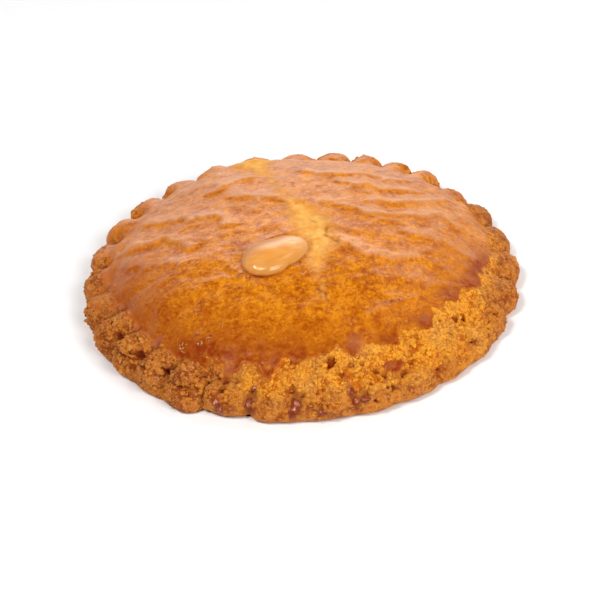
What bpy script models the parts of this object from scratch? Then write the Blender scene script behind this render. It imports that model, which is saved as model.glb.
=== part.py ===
"""Filled almond cookie: a domed short-crust cookie with a scalloped rim and one almond in its top.

The dough shell and its sealed filling are one solid. The origin is the middle of the flat
underside and +Z is up. Lengths below are in millimetres until a vertex is placed, in metres.
"""

import math
import random

import bmesh
import bpy
from mathutils import Matrix, Vector, noise

MM = 0.001

# ---- Driving dimensions, in millimetres and degrees ----

# Dough dome
DOME_RADIUS = 46.4
DOME_FOOT_HEIGHT = 6.0
DOME_RISE = 13.0
DOME_FLATNESS = 2.4
DOME_SHOULDER = 0.8

# Rim bead outside the dome, seen in section
BEAD_RADIUS = 48.0
BEAD_TOP = 7.5
BEAD_CURVE = 0.12
CREASE_RADIUS = 45.5
CREASE_BLEND = 0.5
TIP_RADIUS = 52.5
TIP_HEIGHT = 4.2
FOOT_RADIUS = 51.0
FOOT_HEIGHT = 0.6
FOOT_CHAMFER = 0.6
UPPER_ARC = 6.2
LOWER_ARC = 4.0
WIDEST_PATH = BEAD_RADIUS + UPPER_ARC

# Scallops round the rim
SCALLOPS = 30
PITCH = 360.0 / SCALLOPS
FIRST_SCALLOP = -2.9
CUSP_DEPTH = 2.5
GROOVE_RADIUS = 44.6
GROOVE_RUN = 3.2
SCALLOP_SEED = 7
SWELL = 0.35
LIFT = 0.5
# Share of the cusps' depth that is left on the knobs, where the rim crumbled and at the foot
KNOB_SHARE = 1.15
CRUMBLED_SHARE = 0.35
KNOB_FOOT_SHARE = 0.15
CRUMBLED_FOOT_SHARE = 0.1
# Waves that crowd and spread the scallops: turns round the rim, swing, phase
CROWDING = ((1, 1.37, 127.0), (2, 1.70, 56.0), (3, 1.94, -57.0), (4, 1.11, -23.0))

# The front of the rim has crumbled to a plain slope, and half of that runs on up the right
SLOPE_START_RADIUS = 44.0
SLOPE_START_HEIGHT = 8.45
SLOPE_TIP_RADIUS = 52.0
SLOPE_TIP_HEIGHT = 2.6
SLOPE_RUN = 3.5
SLOPE_DROP = 2.2
SLOPE_WALL = 2.9
CRUMBLED_FROM = 262.0
CRUMBLED_TO = 328.0
CRUMBLED_FADE = 12.0
HALF_SLOPE_TO = 400.0
HALF_SLOPE = 0.6

# The dome's shoulder stands fuller over two stretches: from, to, height
SHOULDER_RADIUS = 42.0
SHOULDER_WIDTH = 5.0
SHOULDER_FADE = 25.0
SHOULDERS = ((102.0, 190.0, 0.8), (15.0, 62.0, 0.5))

# The left front of the rim has long knobs over a smooth foot
KNOBS_FROM = 197.0
KNOBS_TO = 237.0
KNOB_FOOT_REACH = 0.8
KNOB_INNER_RADIUS = 36.0
KNOB_DRAWN_IN = 1.8
KNOB_LIFT = 0.6
KNOB_FADE = 6.0

# Swellings and hollows of the dough: x, y, radius, height
SWELLINGS = (
    (-17.0, 35.0, 12.0, 0.8),
    (-11.0, 39.5, 5.0, 1.3),
    (-30.0, -14.0, 11.0, 0.5),
    (27.0, 18.0, 12.0, -0.5),
    (38.0, -24.0, 5.0, 0.7),
    (18.0, -43.5, 2.4, -1.5),
    (28.5, -40.5, 1.8, -1.1),
    (3.0, -24.0, 3.0, -0.4),
)
LUMP_SIZE = 15.0
LUMP_HEIGHT = 0.45
CRAG_SIZE = 4.2
CRAG_HEIGHT = 0.5
CRUMBLED_CRAG_HEIGHT = 1.1
FOOT_CRAG_SHARE = 0.35
CRAG_INNER_RADIUS = 41.0
CRAG_PLACE = Vector((9.0, 4.0, 2.0))

# A lump of dough squeezed out at the foot
FOOT_LUMP_AZIMUTH = 238.0
FOOT_LUMP_WIDTH = 4.2
FOOT_LUMP_REACH = 1.2

# Almond
ALMOND_LENGTH = 18.0
ALMOND_WIDTH = 11.8
ALMOND_THICKNESS = 6.4
ALMOND_TAPER = 0.10
ALMOND_BLUNTNESS = 2.2
ALMOND_CENTRE = (-5.5, -10.8, 18.1)
ALMOND_AZIMUTH = 37.0
ALMOND_TILT = 3.0
ALMOND_GAP = 0.3

# Mesh
COLUMNS = 8 * SCALLOPS
INNER_RINGS = (3.0, 6.0, 9.0, 12.0, 15.0, 18.0)
MIDDLE_RINGS = (20.5, 23.0, 25.5, 28.0, 30.5, 33.0, 36.0)
OUTER_RINGS = (37.7, 39.4, 41.0, 42.5, 43.7, 44.8, 45.9, 47.0)

DRAWS = random.Random(SCALLOP_SEED)
SCALLOP_SWELL = [DRAWS.uniform(-SWELL, SWELL) for _ in range(SCALLOPS)]
SCALLOP_LIFT = [DRAWS.uniform(-LIFT, LIFT) for _ in range(SCALLOPS)]


def smooth_step(low, high, value):
    """0 below low, 1 above high and an even ramp between them."""
    share = min(max((value - low) / (high - low), 0.0), 1.0)
    return share * share * (3.0 - 2.0 * share)


def mix(first, second, share):
    return first + (second - first) * share


def sector(azimuth, start, end, fade):
    """1 between two azimuths, fading to 0 over the fade on either side."""
    off_middle = abs((azimuth - (start + end) / 2.0 + 180.0) % 360.0 - 180.0)
    return 1.0 - smooth_step(0.0, fade, off_middle - (end - start) / 2.0)


def crowded(phase):
    """The true azimuth of a place on an evenly divided rim."""
    azimuth = phase + FIRST_SCALLOP
    for turns, swing, start in CROWDING:
        azimuth += swing * math.sin(math.radians(turns * phase + start))
    return azimuth


def softly_higher(first, second, blend):
    """The higher of two heights, with the corner where they cross filled in."""
    return (first + second + math.hypot(first - second, blend)) / 2.0


def dome_height(radius, drawn_in=0.0):
    share = min(radius / (DOME_RADIUS - drawn_in), 1.0)
    return DOME_FOOT_HEIGHT + DOME_RISE * (1.0 - share**DOME_FLATNESS) ** DOME_SHOULDER


def bead_height(radius, knobbed):
    """Height of the bead's inner half, which reaches further in and up where it is knobbed."""
    top_radius = BEAD_RADIUS - KNOB_DRAWN_IN * knobbed
    curve = BEAD_CURVE if radius < top_radius else BEAD_CURVE / 2.0
    return BEAD_TOP + KNOB_LIFT * knobbed - curve * (radius - top_radius) ** 2


def beaded_section(path, knobbed):
    """(radius, height) of the dome, the crease round it and the bead's upper half."""
    if path <= BEAD_RADIUS:
        crease = CREASE_RADIUS - KNOB_DRAWN_IN * knobbed
        at_edge = smooth_step(KNOB_INNER_RADIUS, crease, path)
        dome = dome_height(path, KNOB_DRAWN_IN * knobbed * at_edge)
        bead = bead_height(path, knobbed) * smooth_step(crease - 9.0, crease, path)
        return path, softly_higher(dome, bead, CREASE_BLEND)
    turn = math.radians(90.0) * min((path - BEAD_RADIUS) / UPPER_ARC, 1.0)
    return (
        mix(BEAD_RADIUS, TIP_RADIUS, math.sin(turn)),
        mix(TIP_HEIGHT, bead_height(BEAD_RADIUS, knobbed), math.cos(turn)),
    )


def crumbled_section(path):
    """The same length of skin where the rim is a plain slope, drawn as a cubic curve."""
    if path <= SLOPE_START_RADIUS:
        return path, dome_height(path)
    along = min((path - SLOPE_START_RADIUS) / (WIDEST_PATH - SLOPE_START_RADIUS), 1.0)
    corners = (
        (SLOPE_START_RADIUS, SLOPE_START_HEIGHT),
        (SLOPE_START_RADIUS + SLOPE_RUN, SLOPE_START_HEIGHT - SLOPE_DROP),
        (SLOPE_TIP_RADIUS, SLOPE_TIP_HEIGHT + SLOPE_WALL),
        (SLOPE_TIP_RADIUS, SLOPE_TIP_HEIGHT),
    )
    weights = (
        (1.0 - along) ** 3,
        3.0 * along * (1.0 - along) ** 2,
        3.0 * along**2 * (1.0 - along),
        along**3,
    )
    return tuple(sum(w * corner[axis] for w, corner in zip(weights, corners)) for axis in (0, 1))


def section(path, azimuth):
    """(radius, height) at a path length over the skin from the top's middle to the foot."""
    crumbled = max(
        sector(azimuth, CRUMBLED_FROM, CRUMBLED_TO, CRUMBLED_FADE),
        HALF_SLOPE * sector(azimuth, CRUMBLED_TO, HALF_SLOPE_TO, CRUMBLED_FADE),
    )
    knobbed = sector(azimuth, KNOBS_FROM, KNOBS_TO, KNOB_FADE)
    upper = min(path, WIDEST_PATH)
    beaded = beaded_section(upper, knobbed)
    slope = crumbled_section(upper)
    radius = mix(beaded[0], slope[0], crumbled)
    height = mix(beaded[1], slope[1], crumbled)
    if path <= upper:
        return radius, height
    foot = FOOT_RADIUS + KNOB_FOOT_REACH * knobbed
    turn = math.radians(90.0) * min((path - upper) / LOWER_ARC, 1.0)
    return (
        mix(foot, radius, math.cos(turn)),
        mix(height, FOOT_HEIGHT, math.sin(turn)),
    )


def scallop_arch(phase):
    """1 at a scallop's middle and 0 at the cusps, along an arc of a circle."""
    chord = math.radians(PITCH) * TIP_RADIUS / 2.0
    arc_radius = (chord**2 + CUSP_DEPTH**2) / (2.0 * CUSP_DEPTH)
    off_middle = chord * ((phase / PITCH + 0.5) % 1.0 * 2.0 - 1.0)
    return (math.sqrt(arc_radius**2 - off_middle**2) - arc_radius + CUSP_DEPTH) / CUSP_DEPTH


def scallop_weights(path, azimuth):
    """How strongly the scallops show at this place: over the bead, and down at the foot."""
    crumbled = sector(azimuth, CRUMBLED_FROM, CRUMBLED_TO, CRUMBLED_FADE)
    knobbed = sector(azimuth, KNOBS_FROM, KNOBS_TO, KNOB_FADE)
    over_bead = mix(mix(1.0, KNOB_SHARE, knobbed), CRUMBLED_SHARE, crumbled)
    at_foot = mix(mix(1.0, KNOB_FOOT_SHARE, knobbed), CRUMBLED_FOOT_SHARE, crumbled)
    inner_edge = GROOVE_RADIUS - KNOB_DRAWN_IN * knobbed
    drawn_in = smooth_step(inner_edge, inner_edge + GROOVE_RUN, path)
    down_wall = smooth_step(WIDEST_PATH, WIDEST_PATH + LOWER_ARC, path)
    return drawn_in * mix(over_bead, at_foot, down_wall)


def dough_lumps(x, y, height, path):
    """Height that the dough's soft lumps and the rim's crags add."""
    place = Vector((x, y, height))
    added = LUMP_HEIGHT * noise.noise(place / LUMP_SIZE)
    azimuth = math.degrees(math.atan2(y, x)) % 360.0
    crumbled = sector(azimuth, CRUMBLED_FROM, CRUMBLED_TO, CRUMBLED_FADE)
    craggy = mix(CRAG_HEIGHT, CRUMBLED_CRAG_HEIGHT, crumbled)
    craggy *= smooth_step(CRAG_INNER_RADIUS, BEAD_RADIUS, path)
    craggy *= mix(1.0, FOOT_CRAG_SHARE, smooth_step(BEAD_RADIUS, WIDEST_PATH, path))
    added += craggy * noise.noise(place / CRAG_SIZE + CRAG_PLACE)
    off_shoulder = (math.hypot(x, y) - SHOULDER_RADIUS) / SHOULDER_WIDTH
    for start, end, rise in SHOULDERS:
        added += rise * math.exp(-off_shoulder**2) * sector(azimuth, start, end, SHOULDER_FADE)
    for centre_x, centre_y, radius, rise in SWELLINGS:
        off = math.hypot(x - centre_x, y - centre_y) / radius
        added += rise * math.exp(-off * off)
    return added


def crust_point(phase, path):
    """A vertex of the crust, in metres, from its place on an even disc."""
    azimuth = crowded(phase) % 360.0
    radius, height = section(path, azimuth)
    scallop = round(phase / PITCH) % SCALLOPS
    arch = scallop_arch(phase)
    weight = scallop_weights(path, azimuth)
    inward = CUSP_DEPTH * weight * (1.0 - arch)
    inward -= SCALLOP_SWELL[scallop] * weight * arch
    on_wall = smooth_step(CREASE_RADIUS, WIDEST_PATH, path)
    lean = math.radians(90.0) * on_wall
    lump = dough_lumps(
        radius * math.cos(math.radians(azimuth)),
        radius * math.sin(math.radians(azimuth)),
        height,
        path,
    )
    outward = lump - inward
    off_lump = math.radians(azimuth - FOOT_LUMP_AZIMUTH) * FOOT_RADIUS / FOOT_LUMP_WIDTH
    low_foot = math.exp(-(off_lump**2))
    low_foot *= smooth_step(WIDEST_PATH, WIDEST_PATH + LOWER_ARC / 2.0, path)
    radius += outward * math.sin(lean) + FOOT_LUMP_REACH * low_foot
    height += outward * math.cos(lean)
    height += SCALLOP_LIFT[scallop] * weight * arch * (1.0 - on_wall)
    height = max(height, FOOT_HEIGHT)
    return Vector((
        MM * radius * math.cos(math.radians(azimuth)),
        MM * radius * math.sin(math.radians(azimuth)),
        MM * height,
    ))


def crust_rings():
    """Path lengths of the rings of vertices from the top's middle to the foot."""
    rings = list(INNER_RINGS + MIDDLE_RINGS + OUTER_RINGS)
    rings += [BEAD_RADIUS + UPPER_ARC * step / 4 for step in range(5)]
    rings += [WIDEST_PATH + LOWER_ARC * step / 3 for step in range(1, 4)]
    return rings


def spun_disc(mesh, rings):
    """A flat disc of rings, with fewer columns towards its middle."""
    points = [mesh.verts.new((0.0, 0.0, 0.0))]
    points += [mesh.verts.new((ring, 0.0, 0.0)) for ring in rings]
    chain = [mesh.edges.new(pair) for pair in zip(points, points[1:])]
    bmesh.ops.spin(
        mesh,
        geom=points + chain,
        cent=(0.0, 0.0, 0.0),
        axis=(0.0, 0.0, 1.0),
        angle=math.radians(360.0),
        steps=COLUMNS,
        use_merge=True,
    )
    for vertex in mesh.verts:
        path = math.hypot(vertex.co.x, vertex.co.y)
        column = round(math.atan2(vertex.co.y, vertex.co.x) / math.tau * COLUMNS)
        inner = path < MIDDLE_RINGS[0] - 1.0
        middle = path < OUTER_RINGS[0] - 1.0
        columns_in_one = 4 if inner else 2 if middle else 1
        turn = math.tau * (column // columns_in_one * columns_in_one) / COLUMNS
        vertex.co = (path * math.cos(turn), path * math.sin(turn), 0.0)
    bmesh.ops.remove_doubles(mesh, verts=mesh.verts, dist=0.01)


def mesh_object(name, mesh, material):
    """An object of that name with the bmesh's shape, shaded smooth."""
    data = bpy.data.meshes.new(name)
    mesh.to_mesh(data)
    mesh.free()
    data.shade_smooth()
    if material:
        data.materials.append(material)
    made = bpy.data.objects.new(name, data)
    bpy.context.scene.collection.objects.link(made)
    return made


def baked_material(name, colour, roughness):
    material = bpy.data.materials.new(name)
    material.use_nodes = True
    shader = material.node_tree.nodes["Principled BSDF"]
    shader.inputs["Base Color"].default_value = (*colour, 1.0)
    shader.inputs["Roughness"].default_value = roughness
    shader.inputs["Metallic"].default_value = 0.0
    return material


def make_cookie():
    """The crust is a spun disc bent over the dome, the rim and the wall, then closed below."""
    mesh = bmesh.new()
    spun_disc(mesh, crust_rings())
    for vertex in mesh.verts:
        path = math.hypot(vertex.co.x, vertex.co.y)
        phase = math.degrees(math.atan2(vertex.co.y, vertex.co.x)) % 360.0
        vertex.co = crust_point(phase, path)
    foot = [edge for edge in mesh.edges if edge.is_boundary]
    skirt = bmesh.ops.extrude_edge_only(mesh, edges=foot)["geom"]
    for vertex in (item for item in skirt if isinstance(item, bmesh.types.BMVert)):
        drawn_in = 1.0 - FOOT_CHAMFER / FOOT_RADIUS
        vertex.co = (vertex.co.x * drawn_in, vertex.co.y * drawn_in, 0.0)
    bmesh.ops.holes_fill(mesh, edges=[edge for edge in mesh.edges if edge.is_boundary])
    bmesh.ops.recalc_face_normals(mesh, faces=mesh.faces)
    return mesh_object("cookie", mesh, baked_material("baked crust", (0.62, 0.25, 0.045), 0.45))


def almond_shape(grown):
    """An almond, blunt at its narrow end, grown evenly on all sides."""
    mesh = bmesh.new()
    bmesh.ops.create_uvsphere(mesh, u_segments=28, v_segments=16, radius=1.0)
    bmesh.ops.rotate(mesh, verts=mesh.verts, matrix=Matrix.Rotation(math.radians(90.0), 3, "Y"))
    for vertex in mesh.verts:
        along = min(max(vertex.co.x, -1.0), 1.0)
        girth = math.sqrt(max(1.0 - along**2, 1e-9))
        blunt = (1.0 - abs(along) ** ALMOND_BLUNTNESS) ** (1.0 / ALMOND_BLUNTNESS)
        breadth = blunt / girth * (1.0 - ALMOND_TAPER * along)
        vertex.co = (
            MM * (ALMOND_LENGTH / 2.0 + grown) * along,
            MM * (ALMOND_WIDTH / 2.0 * breadth + grown) * vertex.co.y,
            MM * (ALMOND_THICKNESS / 2.0 * breadth + grown) * vertex.co.z,
        )
    tilt = Matrix.Rotation(math.radians(ALMOND_TILT), 4, "Y")
    turn = Matrix.Rotation(math.radians(ALMOND_AZIMUTH), 4, "Z")
    place = Matrix.Translation(MM * Vector(ALMOND_CENTRE)) @ turn @ tilt
    bmesh.ops.transform(mesh, matrix=place, verts=mesh.verts)
    bmesh.ops.recalc_face_normals(mesh, faces=mesh.faces)
    return mesh


def make_almond():
    almond_skin = baked_material("almond", (0.8, 0.46, 0.17), 0.35)
    return mesh_object("almond", almond_shape(0.0), almond_skin)


def press_in(cookie):
    """Cuts the almond's seat out of the cookie, with a small gap round it."""
    cutter = mesh_object("almond_seat", almond_shape(ALMOND_GAP), None)
    cutter.hide_render = True
    cutter.display_type = "WIRE"
    cut = cookie.modifiers.new("seat", "BOOLEAN")
    cut.operation = "DIFFERENCE"
    cut.solver = "EXACT"
    cut.object = cutter


def clear_scene():
    for old in list(bpy.data.objects):
        bpy.data.objects.remove(old, do_unlink=True)


def main():
    clear_scene()
    cookie = make_cookie()
    make_almond()
    press_in(cookie)


main()
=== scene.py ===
"""Looks of the filled almond cookie: egg-glazed crust, crumbly scalloped rim and a pressed-in almond.

Lengths are in millimetres and angles in degrees until a vertex is placed, in metres.
The settings and the stage are in metres.
"""

import math
import random
from types import SimpleNamespace

import bmesh
import bpy
import numpy as np
from bpy.props import FloatProperty, FloatVectorProperty, PointerProperty
from mathutils import Matrix, Quaternion, Vector, noise


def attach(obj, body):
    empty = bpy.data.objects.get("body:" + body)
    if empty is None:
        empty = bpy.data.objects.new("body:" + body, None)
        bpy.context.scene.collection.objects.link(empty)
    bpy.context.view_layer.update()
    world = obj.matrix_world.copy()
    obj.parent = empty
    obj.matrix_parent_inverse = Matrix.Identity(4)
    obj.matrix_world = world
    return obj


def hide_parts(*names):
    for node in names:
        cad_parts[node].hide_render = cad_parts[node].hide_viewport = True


bl_info = {
    "name": "Filled almond cookie",
    "version": (1, 0, 0),
    "blender": (4, 5, 0),
    "location": "3D View > Sidebar > Cookie",
    "description": "Makes a glazed almond cookie with a crumbly scalloped rim",
    "category": "Object",
}

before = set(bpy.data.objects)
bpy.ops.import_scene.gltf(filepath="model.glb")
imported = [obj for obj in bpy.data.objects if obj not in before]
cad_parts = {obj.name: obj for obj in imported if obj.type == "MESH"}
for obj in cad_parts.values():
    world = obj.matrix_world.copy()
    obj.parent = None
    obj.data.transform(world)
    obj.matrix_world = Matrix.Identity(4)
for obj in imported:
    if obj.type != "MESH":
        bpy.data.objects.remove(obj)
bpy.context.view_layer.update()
MM = 0.001
QUARTER_TURN = math.radians(90.0)

# ---- The solids' own shape ----

DOME_RADIUS = 46.4
DOME_FOOT_HEIGHT = 6.0
DOME_RISE = 13.0
DOME_FLATNESS = 2.4
DOME_SHOULDER = 0.8

BEAD_RADIUS = 48.0
BEAD_TOP = 7.5
BEAD_CURVE = 0.12
BEAD_RISE_RUN = 9.0
CREASE_RADIUS = 45.5
CREASE_BLEND = 0.5
TIP_RADIUS = 52.5
TIP_HEIGHT = 4.2
FOOT_RADIUS = 51.0
FOOT_HEIGHT = 0.6
FOOT_CHAMFER = 0.6
UPPER_ARC = 6.2
LOWER_ARC = 4.0
WIDEST_PATH = BEAD_RADIUS + UPPER_ARC
FOOT_PATH = WIDEST_PATH + LOWER_ARC

SCALLOPS = 30
PITCH = 360.0 / SCALLOPS
FIRST_SCALLOP = -2.9
CUSP_DEPTH = 2.5
GROOVE_RADIUS = 44.6
GROOVE_RUN = 3.2
SCALLOP_SEED = 7
SWELL = 0.35
LIFT = 0.5
# How strongly the scallops show where they are knobs or crumbled, and at their feet
KNOB_SHARE = 1.15
CRUMBLED_SHARE = 0.35
KNOB_FOOT_SHARE = 0.15
CRUMBLED_FOOT_SHARE = 0.1
# Uneven spacing of the scallops: waves round the rim, swing, start
CROWDING = ((1, 1.37, 127.0), (2, 1.70, 56.0), (3, 1.94, -57.0), (4, 1.11, -23.0))

SLOPE_START_RADIUS = 44.0
SLOPE_START_HEIGHT = 8.45
SLOPE_TIP_RADIUS = 52.0
SLOPE_TIP_HEIGHT = 2.6
SLOPE_RUN = 3.5
SLOPE_DROP = 2.2
SLOPE_WALL = 2.9
HALF_SLOPE = 0.6

SHOULDER_RADIUS = 42.0
SHOULDER_WIDTH = 5.0
SHOULDER_FADE = 25.0
# Full stretches of the shoulder: first azimuth, last azimuth, rise
SHOULDERS = ((102.0, 190.0, 0.8), (15.0, 62.0, 0.5))

KNOB_FOOT_REACH = 0.8
KNOB_INNER_RADIUS = 36.0
KNOB_DRAWN_IN = 1.8
KNOB_LIFT = 0.6

# Broad swellings and hollows: x, y, radius, rise
SWELLINGS = (
    (-17.0, 35.0, 12.0, 0.8), (-11.0, 39.5, 5.0, 1.3), (-30.0, -14.0, 11.0, 0.5),
    (27.0, 18.0, 12.0, -0.5), (38.0, -24.0, 5.0, 0.7), (18.0, -43.5, 2.4, -1.5),
    (28.5, -40.5, 1.8, -1.1), (3.0, -24.0, 3.0, -0.4),
)
LUMP_SIZE = 15.0
LUMP_HEIGHT = 0.45
CRAG_SIZE = 4.2
CRAG_HEIGHT = 0.5
CRUMBLED_CRAG_HEIGHT = 1.1
FOOT_CRAG_SHARE = 0.35
CRAG_INNER_RADIUS = 41.0
CRAG_PLACE = Vector((9.0, 4.0, 2.0))

FOOT_LUMP_AZIMUTH = 238.0
FOOT_LUMP_WIDTH = 4.2
FOOT_LUMP_REACH = 1.2

ALMOND_LENGTH = 18.0
ALMOND_WIDTH = 11.8
ALMOND_THICKNESS = 6.4
ALMOND_TAPER = 0.10
ALMOND_BLUNTNESS = 2.2
ALMOND_CENTRE = (-5.5, -10.8, 18.1)
ALMOND_AZIMUTH = 37.0
ALMOND_TILT = 3.0
# The flat facet at the fat end: its place along and across, and how sharply it ends either way
FACET = (-0.80, -0.43, 4.1, 4.6)
FACET_SHARE = 1.6
SIDEWAYS_SWELLING = 0.3
# Where the almond's sides take painted shade: two stretches across it, and one up it; the far side
# and the lower near edge are drawn darker
SHADED_FAR_SIDE = (-0.15, 0.6)
NEAR_SIDE = (0.1, -0.9)
LOW_SIDE = (0.95, 0.3)
FAR_SIDE_SHADE_STRENGTH = 0.85
ALMOND_SEGMENTS = 112
ALMOND_RINGS = 72

# Stretches of the rim: first azimuth, last azimuth, fade past either end
KNOBS = (197.0, 237.0, 6.0)
CRUMBLED = (262.0, 328.0, 12.0)
HALF_CRUMBLED = (328.0, 400.0, 12.0)

DRAWS = random.Random(SCALLOP_SEED)
SCALLOP_SWELL = [DRAWS.uniform(-SWELL, SWELL) for _ in range(SCALLOPS)]
SCALLOP_LIFT = [DRAWS.uniform(-LIFT, LIFT) for _ in range(SCALLOPS)]

# ---- Meshes of the crust, the crumbs, the bubbles and the drips ----

TOP_SEGMENTS = 200
TOP_PATH = 39.0
RIM_ROWS = 69
BASE_RADII = (49.0, 30.0)
FOOT_CALM_RUN = 1.5
FOOT_RELIEF_SHARE = 0.3

CRUMB_KINDS = (("crumbs", False, 2300), ("fine_crumbs", True, 8500))
CRUMB_SEED = 3
CRUMB_SQUASH = (0.5, 1.0)
CRUMB_UNEVENNESS = 0.22
CRUMB_SUNK = (0.1, 0.5)
CRUMB_FLOOR = 1.2

BUBBLE_SEED = 5
BUBBLE_RADII = (0.11, 0.26)
BUBBLE_STRETCH = (1.0, 1.6)
BUBBLE_SPIN = (-1.2, 1.2)
BUBBLE_FLATNESS = 0.6

DRIP_SPREAD = 1.25
DRIP_THICKNESS = 0.40
DRIP_UNEVENNESS = 0.4
# Painted highlight on the drips: the side it faces, the size of its patches and its strength
DRIP_LIT_FROM = Vector((-0.45, -0.55, 0.70))
DRIP_HIGHLIGHT_PATCH_SIZE = 1.3
DRIP_HIGHLIGHT_STRENGTH = 0.85
STAIN_MARGIN = 0.5

# ---- Noise over the crust: size, octaves where there are any, and where it is read from ----

FINE_NOISE = (1.0, (5.0, 1.0, 9.0))
SMALL_NOISE = (2.4, (1.0, 7.0, 3.0))
MEDIUM_NOISE = (5.5, (4.0, 2.0, 8.0))
FOLD_BEND = (4.0, (8.0, 3.0, 1.0))
FOLD_STRENGTH = (11.0, (2.0, 2.0, 2.0))
FOLD_PLATES = (9.0, (3.0, 6.0, 0.0))
RIPPLES = (9.0, 2, (4.0, 9.0, 6.0))
DOUGH_LUMPS = (4.4, 3, (7.0, 3.0, 5.0))
CRUMB_GRAINS = (1.5, (3.0, 8.0, 2.0))
CLODS = (3.1, (2.0, 5.0, 7.0))
CLOD_BORDERS = (2.5, (9.0, 9.0, 2.0))
CREASED_PLACES = (4.0, (6.0, 6.0, 1.0))
PIT_CELLS = (1.9, (1.0, 1.0, 4.0))
# Draws cells far apart, so that each gets a number of its own
CELL_SPREAD = 37.0

# ---- Relief of the skin ----

WRINKLE_BACK_SHARE = 3.0
LIP_RISE = 0.28
HOLE_DEPTH = 1.1
DEEPEST_HOLE = 1.2
PALE_DEPTH = 0.25
CRACK_DEPTH = 0.5
GROOVE_DEPTH = 0.5
KNOB_GROOVE_DEPTH = 1.5
SIDE_GROOVE_DEPTH = 0.6
UNDERCUT_PATH = 52.0
UNDERCUT_WIDTH = 0.8
UNDERCUT_DEPTH = 1.3
DRAPE_PATH = 45.6
DRAPE_WIDTH = 1.5
DRAPE_RISE = 0.9

SEAT_DEPTH = 3.6
SEAT_ROLL_OFF = 1.0
SEAT_ROLL_WIDTH = 0.9
SEAT_ROLL_RISE = 0.12
FAT_END_ROLL_RISE = 0.30
CONTACT_WIDTH = 0.45
CONTACT_RISE = 0.25
ALMOND_SLOPE = 0.75

# Skin crept over the almond's edge, and the calm skin at the left: x, y, half width, half depth
CREPT_SKIN = (-2.2, -16.2, 1.6, 1.1)
CREPT_RISE = 0.6
CALM_SKIN = (-18.0, -5.0, 15.0, 11.0)

# ---- Stretches of the rim by their finish: first azimuth, last azimuth, fade ----

FRONT = (236.0, 350.0, 14.0)
LEFT_FRONT = (190.0, 244.0, 6.0)
LEFT_LOBES = (150.0, 192.0, 8.0)
RIGHT_LOBES = (342.0, 385.0, 8.0)
PATCHY_BACK = (38.0, 192.0, 14.0)
DRAPED_BACK = (25.0, 192.0, 12.0)
POOLED_LEFT = (190.0, 264.0, 22.0)
DARKER_FAR_LEFT = (135.0, 196.0, 18.0)
BROWN_LEFT = (165.0, 240.0, 12.0)
BROWN_RIGHT = (332.0, 400.0, 12.0)
BROWN_FRONT = (228.0, 276.0, 24.0)
CRUMBLY_FRONT = (238.0, 335.0, 14.0)
CRUMBLY_LEFT = (165.0, 237.0, 10.0)
SMOOTH_BACK = (22.0, 160.0, 12.0)
UNDERSIDE_BROWNING = 0.8

# ---- Where finishes start and end: pairs of paths over the skin, out from the middle ----

WRINKLED_TOP = (46.0, 40.0)
PALE_END = (50.0, 44.0)
PATCHES_END = (55.0, 52.0)
KNOB_TOPS_END = (45.0, 43.6)
CRAGS_END = (57.5, 53.0)
KNOB_GROOVES_END = (50.5, 53.0)
STAINS_START = (45.0, 47.0)
POOL_START = (30.0, 42.0)
FAR_LEFT_DARKENING_START = (12.0, 30.0)
BROWN_START = (46.0, 52.5)
BROWN_LEFT_START = (42.0, 45.0)
BROWN_RIGHT_START = (44.5, 49.0)
BROWN_FRONT_START = (40.0, 44.0)
BROWN_FOOT_START = (53.0, 56.5)

# ---- Where the glaze ends, azimuth and path: tongues reach out over the bare crumb ----

GLAZE_EDGE = (
    (0.0, 45.4), (8.0, 46.0), (20.0, 46.3), (40.0, 47.2), (60.0, 49.6),
    (120.0, 50.5), (160.0, 49.5), (180.0, 47.2), (197.0, 45.0), (214.0, 44.0),
    (236.0, 43.2), (242.0, 43.8), (246.0, 46.2), (250.0, 43.0), (254.0, 42.6),
    (257.9, 45.4), (261.5, 41.0), (267.0, 41.6), (271.0, 40.6), (275.0, 41.4),
    (280.0, 39.8), (284.4, 42.2), (288.5, 40.2), (293.0, 41.0), (298.5, 42.4),
    (303.0, 40.2), (308.0, 41.0), (312.6, 42.5), (318.0, 40.0), (323.0, 41.0),
    (328.0, 42.2), (333.0, 41.2), (339.5, 44.5), (344.0, 43.2), (350.0, 44.8),
)

# Raised wrinkles of the glazed skin: half width, height, then the points they run through
WRINKLES = (
    (0.8, 1.0, (-42.0, 6.0), (-37.5, 5.0), (-31.0, 3.4), (-26.0, -3.0)),
    (0.8, 0.8, (-24.0, 10.0), (-19.0, 7.8), (-17.0, 3.5)),
    (0.7, 0.9, (12.0, 7.8), (17.0, 4.5), (24.0, 4.3), (31.0, 6.0), (34.0, 9.0), (38.0, 4.0)),
    (0.8, 0.9, (9.5, -6.5), (15.0, -12.0), (21.5, -14.0), (27.0, -12.0)),
    (0.5, 0.7, (14.0, -30.0), (19.0, -27.6), (25.0, -25.0)),
    (0.7, 0.4, (7.5, -31.0), (9.5, -34.0), (13.0, -36.5)),
    (0.9, 0.6, (-17.0, -12.0), (-13.5, -17.0), (-10.0, -20.5)),
    (0.9, 0.7, (-44.0, 1.0), (-36.0, -4.3), (-28.0, -8.0)),
    (0.8, 0.7, (-14.0, 16.5), (-6.0, 13.0), (-1.0, 11.2)),
    (0.8, 0.8, (12.0, 20.0), (21.5, 17.2), (28.0, 18.5)),
    (0.8, 0.8, (2.6, 28.0), (9.5, 25.0), (17.0, 26.0), (26.0, 24.0)),
    (0.8, 0.8, (-19.5, 21.5), (-15.5, 25.0), (-11.0, 26.0)),
    (0.9, 0.7, (-37.0, 15.0), (-30.0, 13.0), (-25.5, 9.0)),
    (0.8, 0.8, (18.0, 10.0), (25.0, 11.5), (30.0, 13.5), (36.0, 17.0)),
    (0.8, 0.7, (26.0, -3.0), (34.0, -3.4), (40.0, -7.0)),
    (0.8, 0.6, (18.0, -20.0), (26.7, -19.0), (34.0, -19.5)),
)

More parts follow.
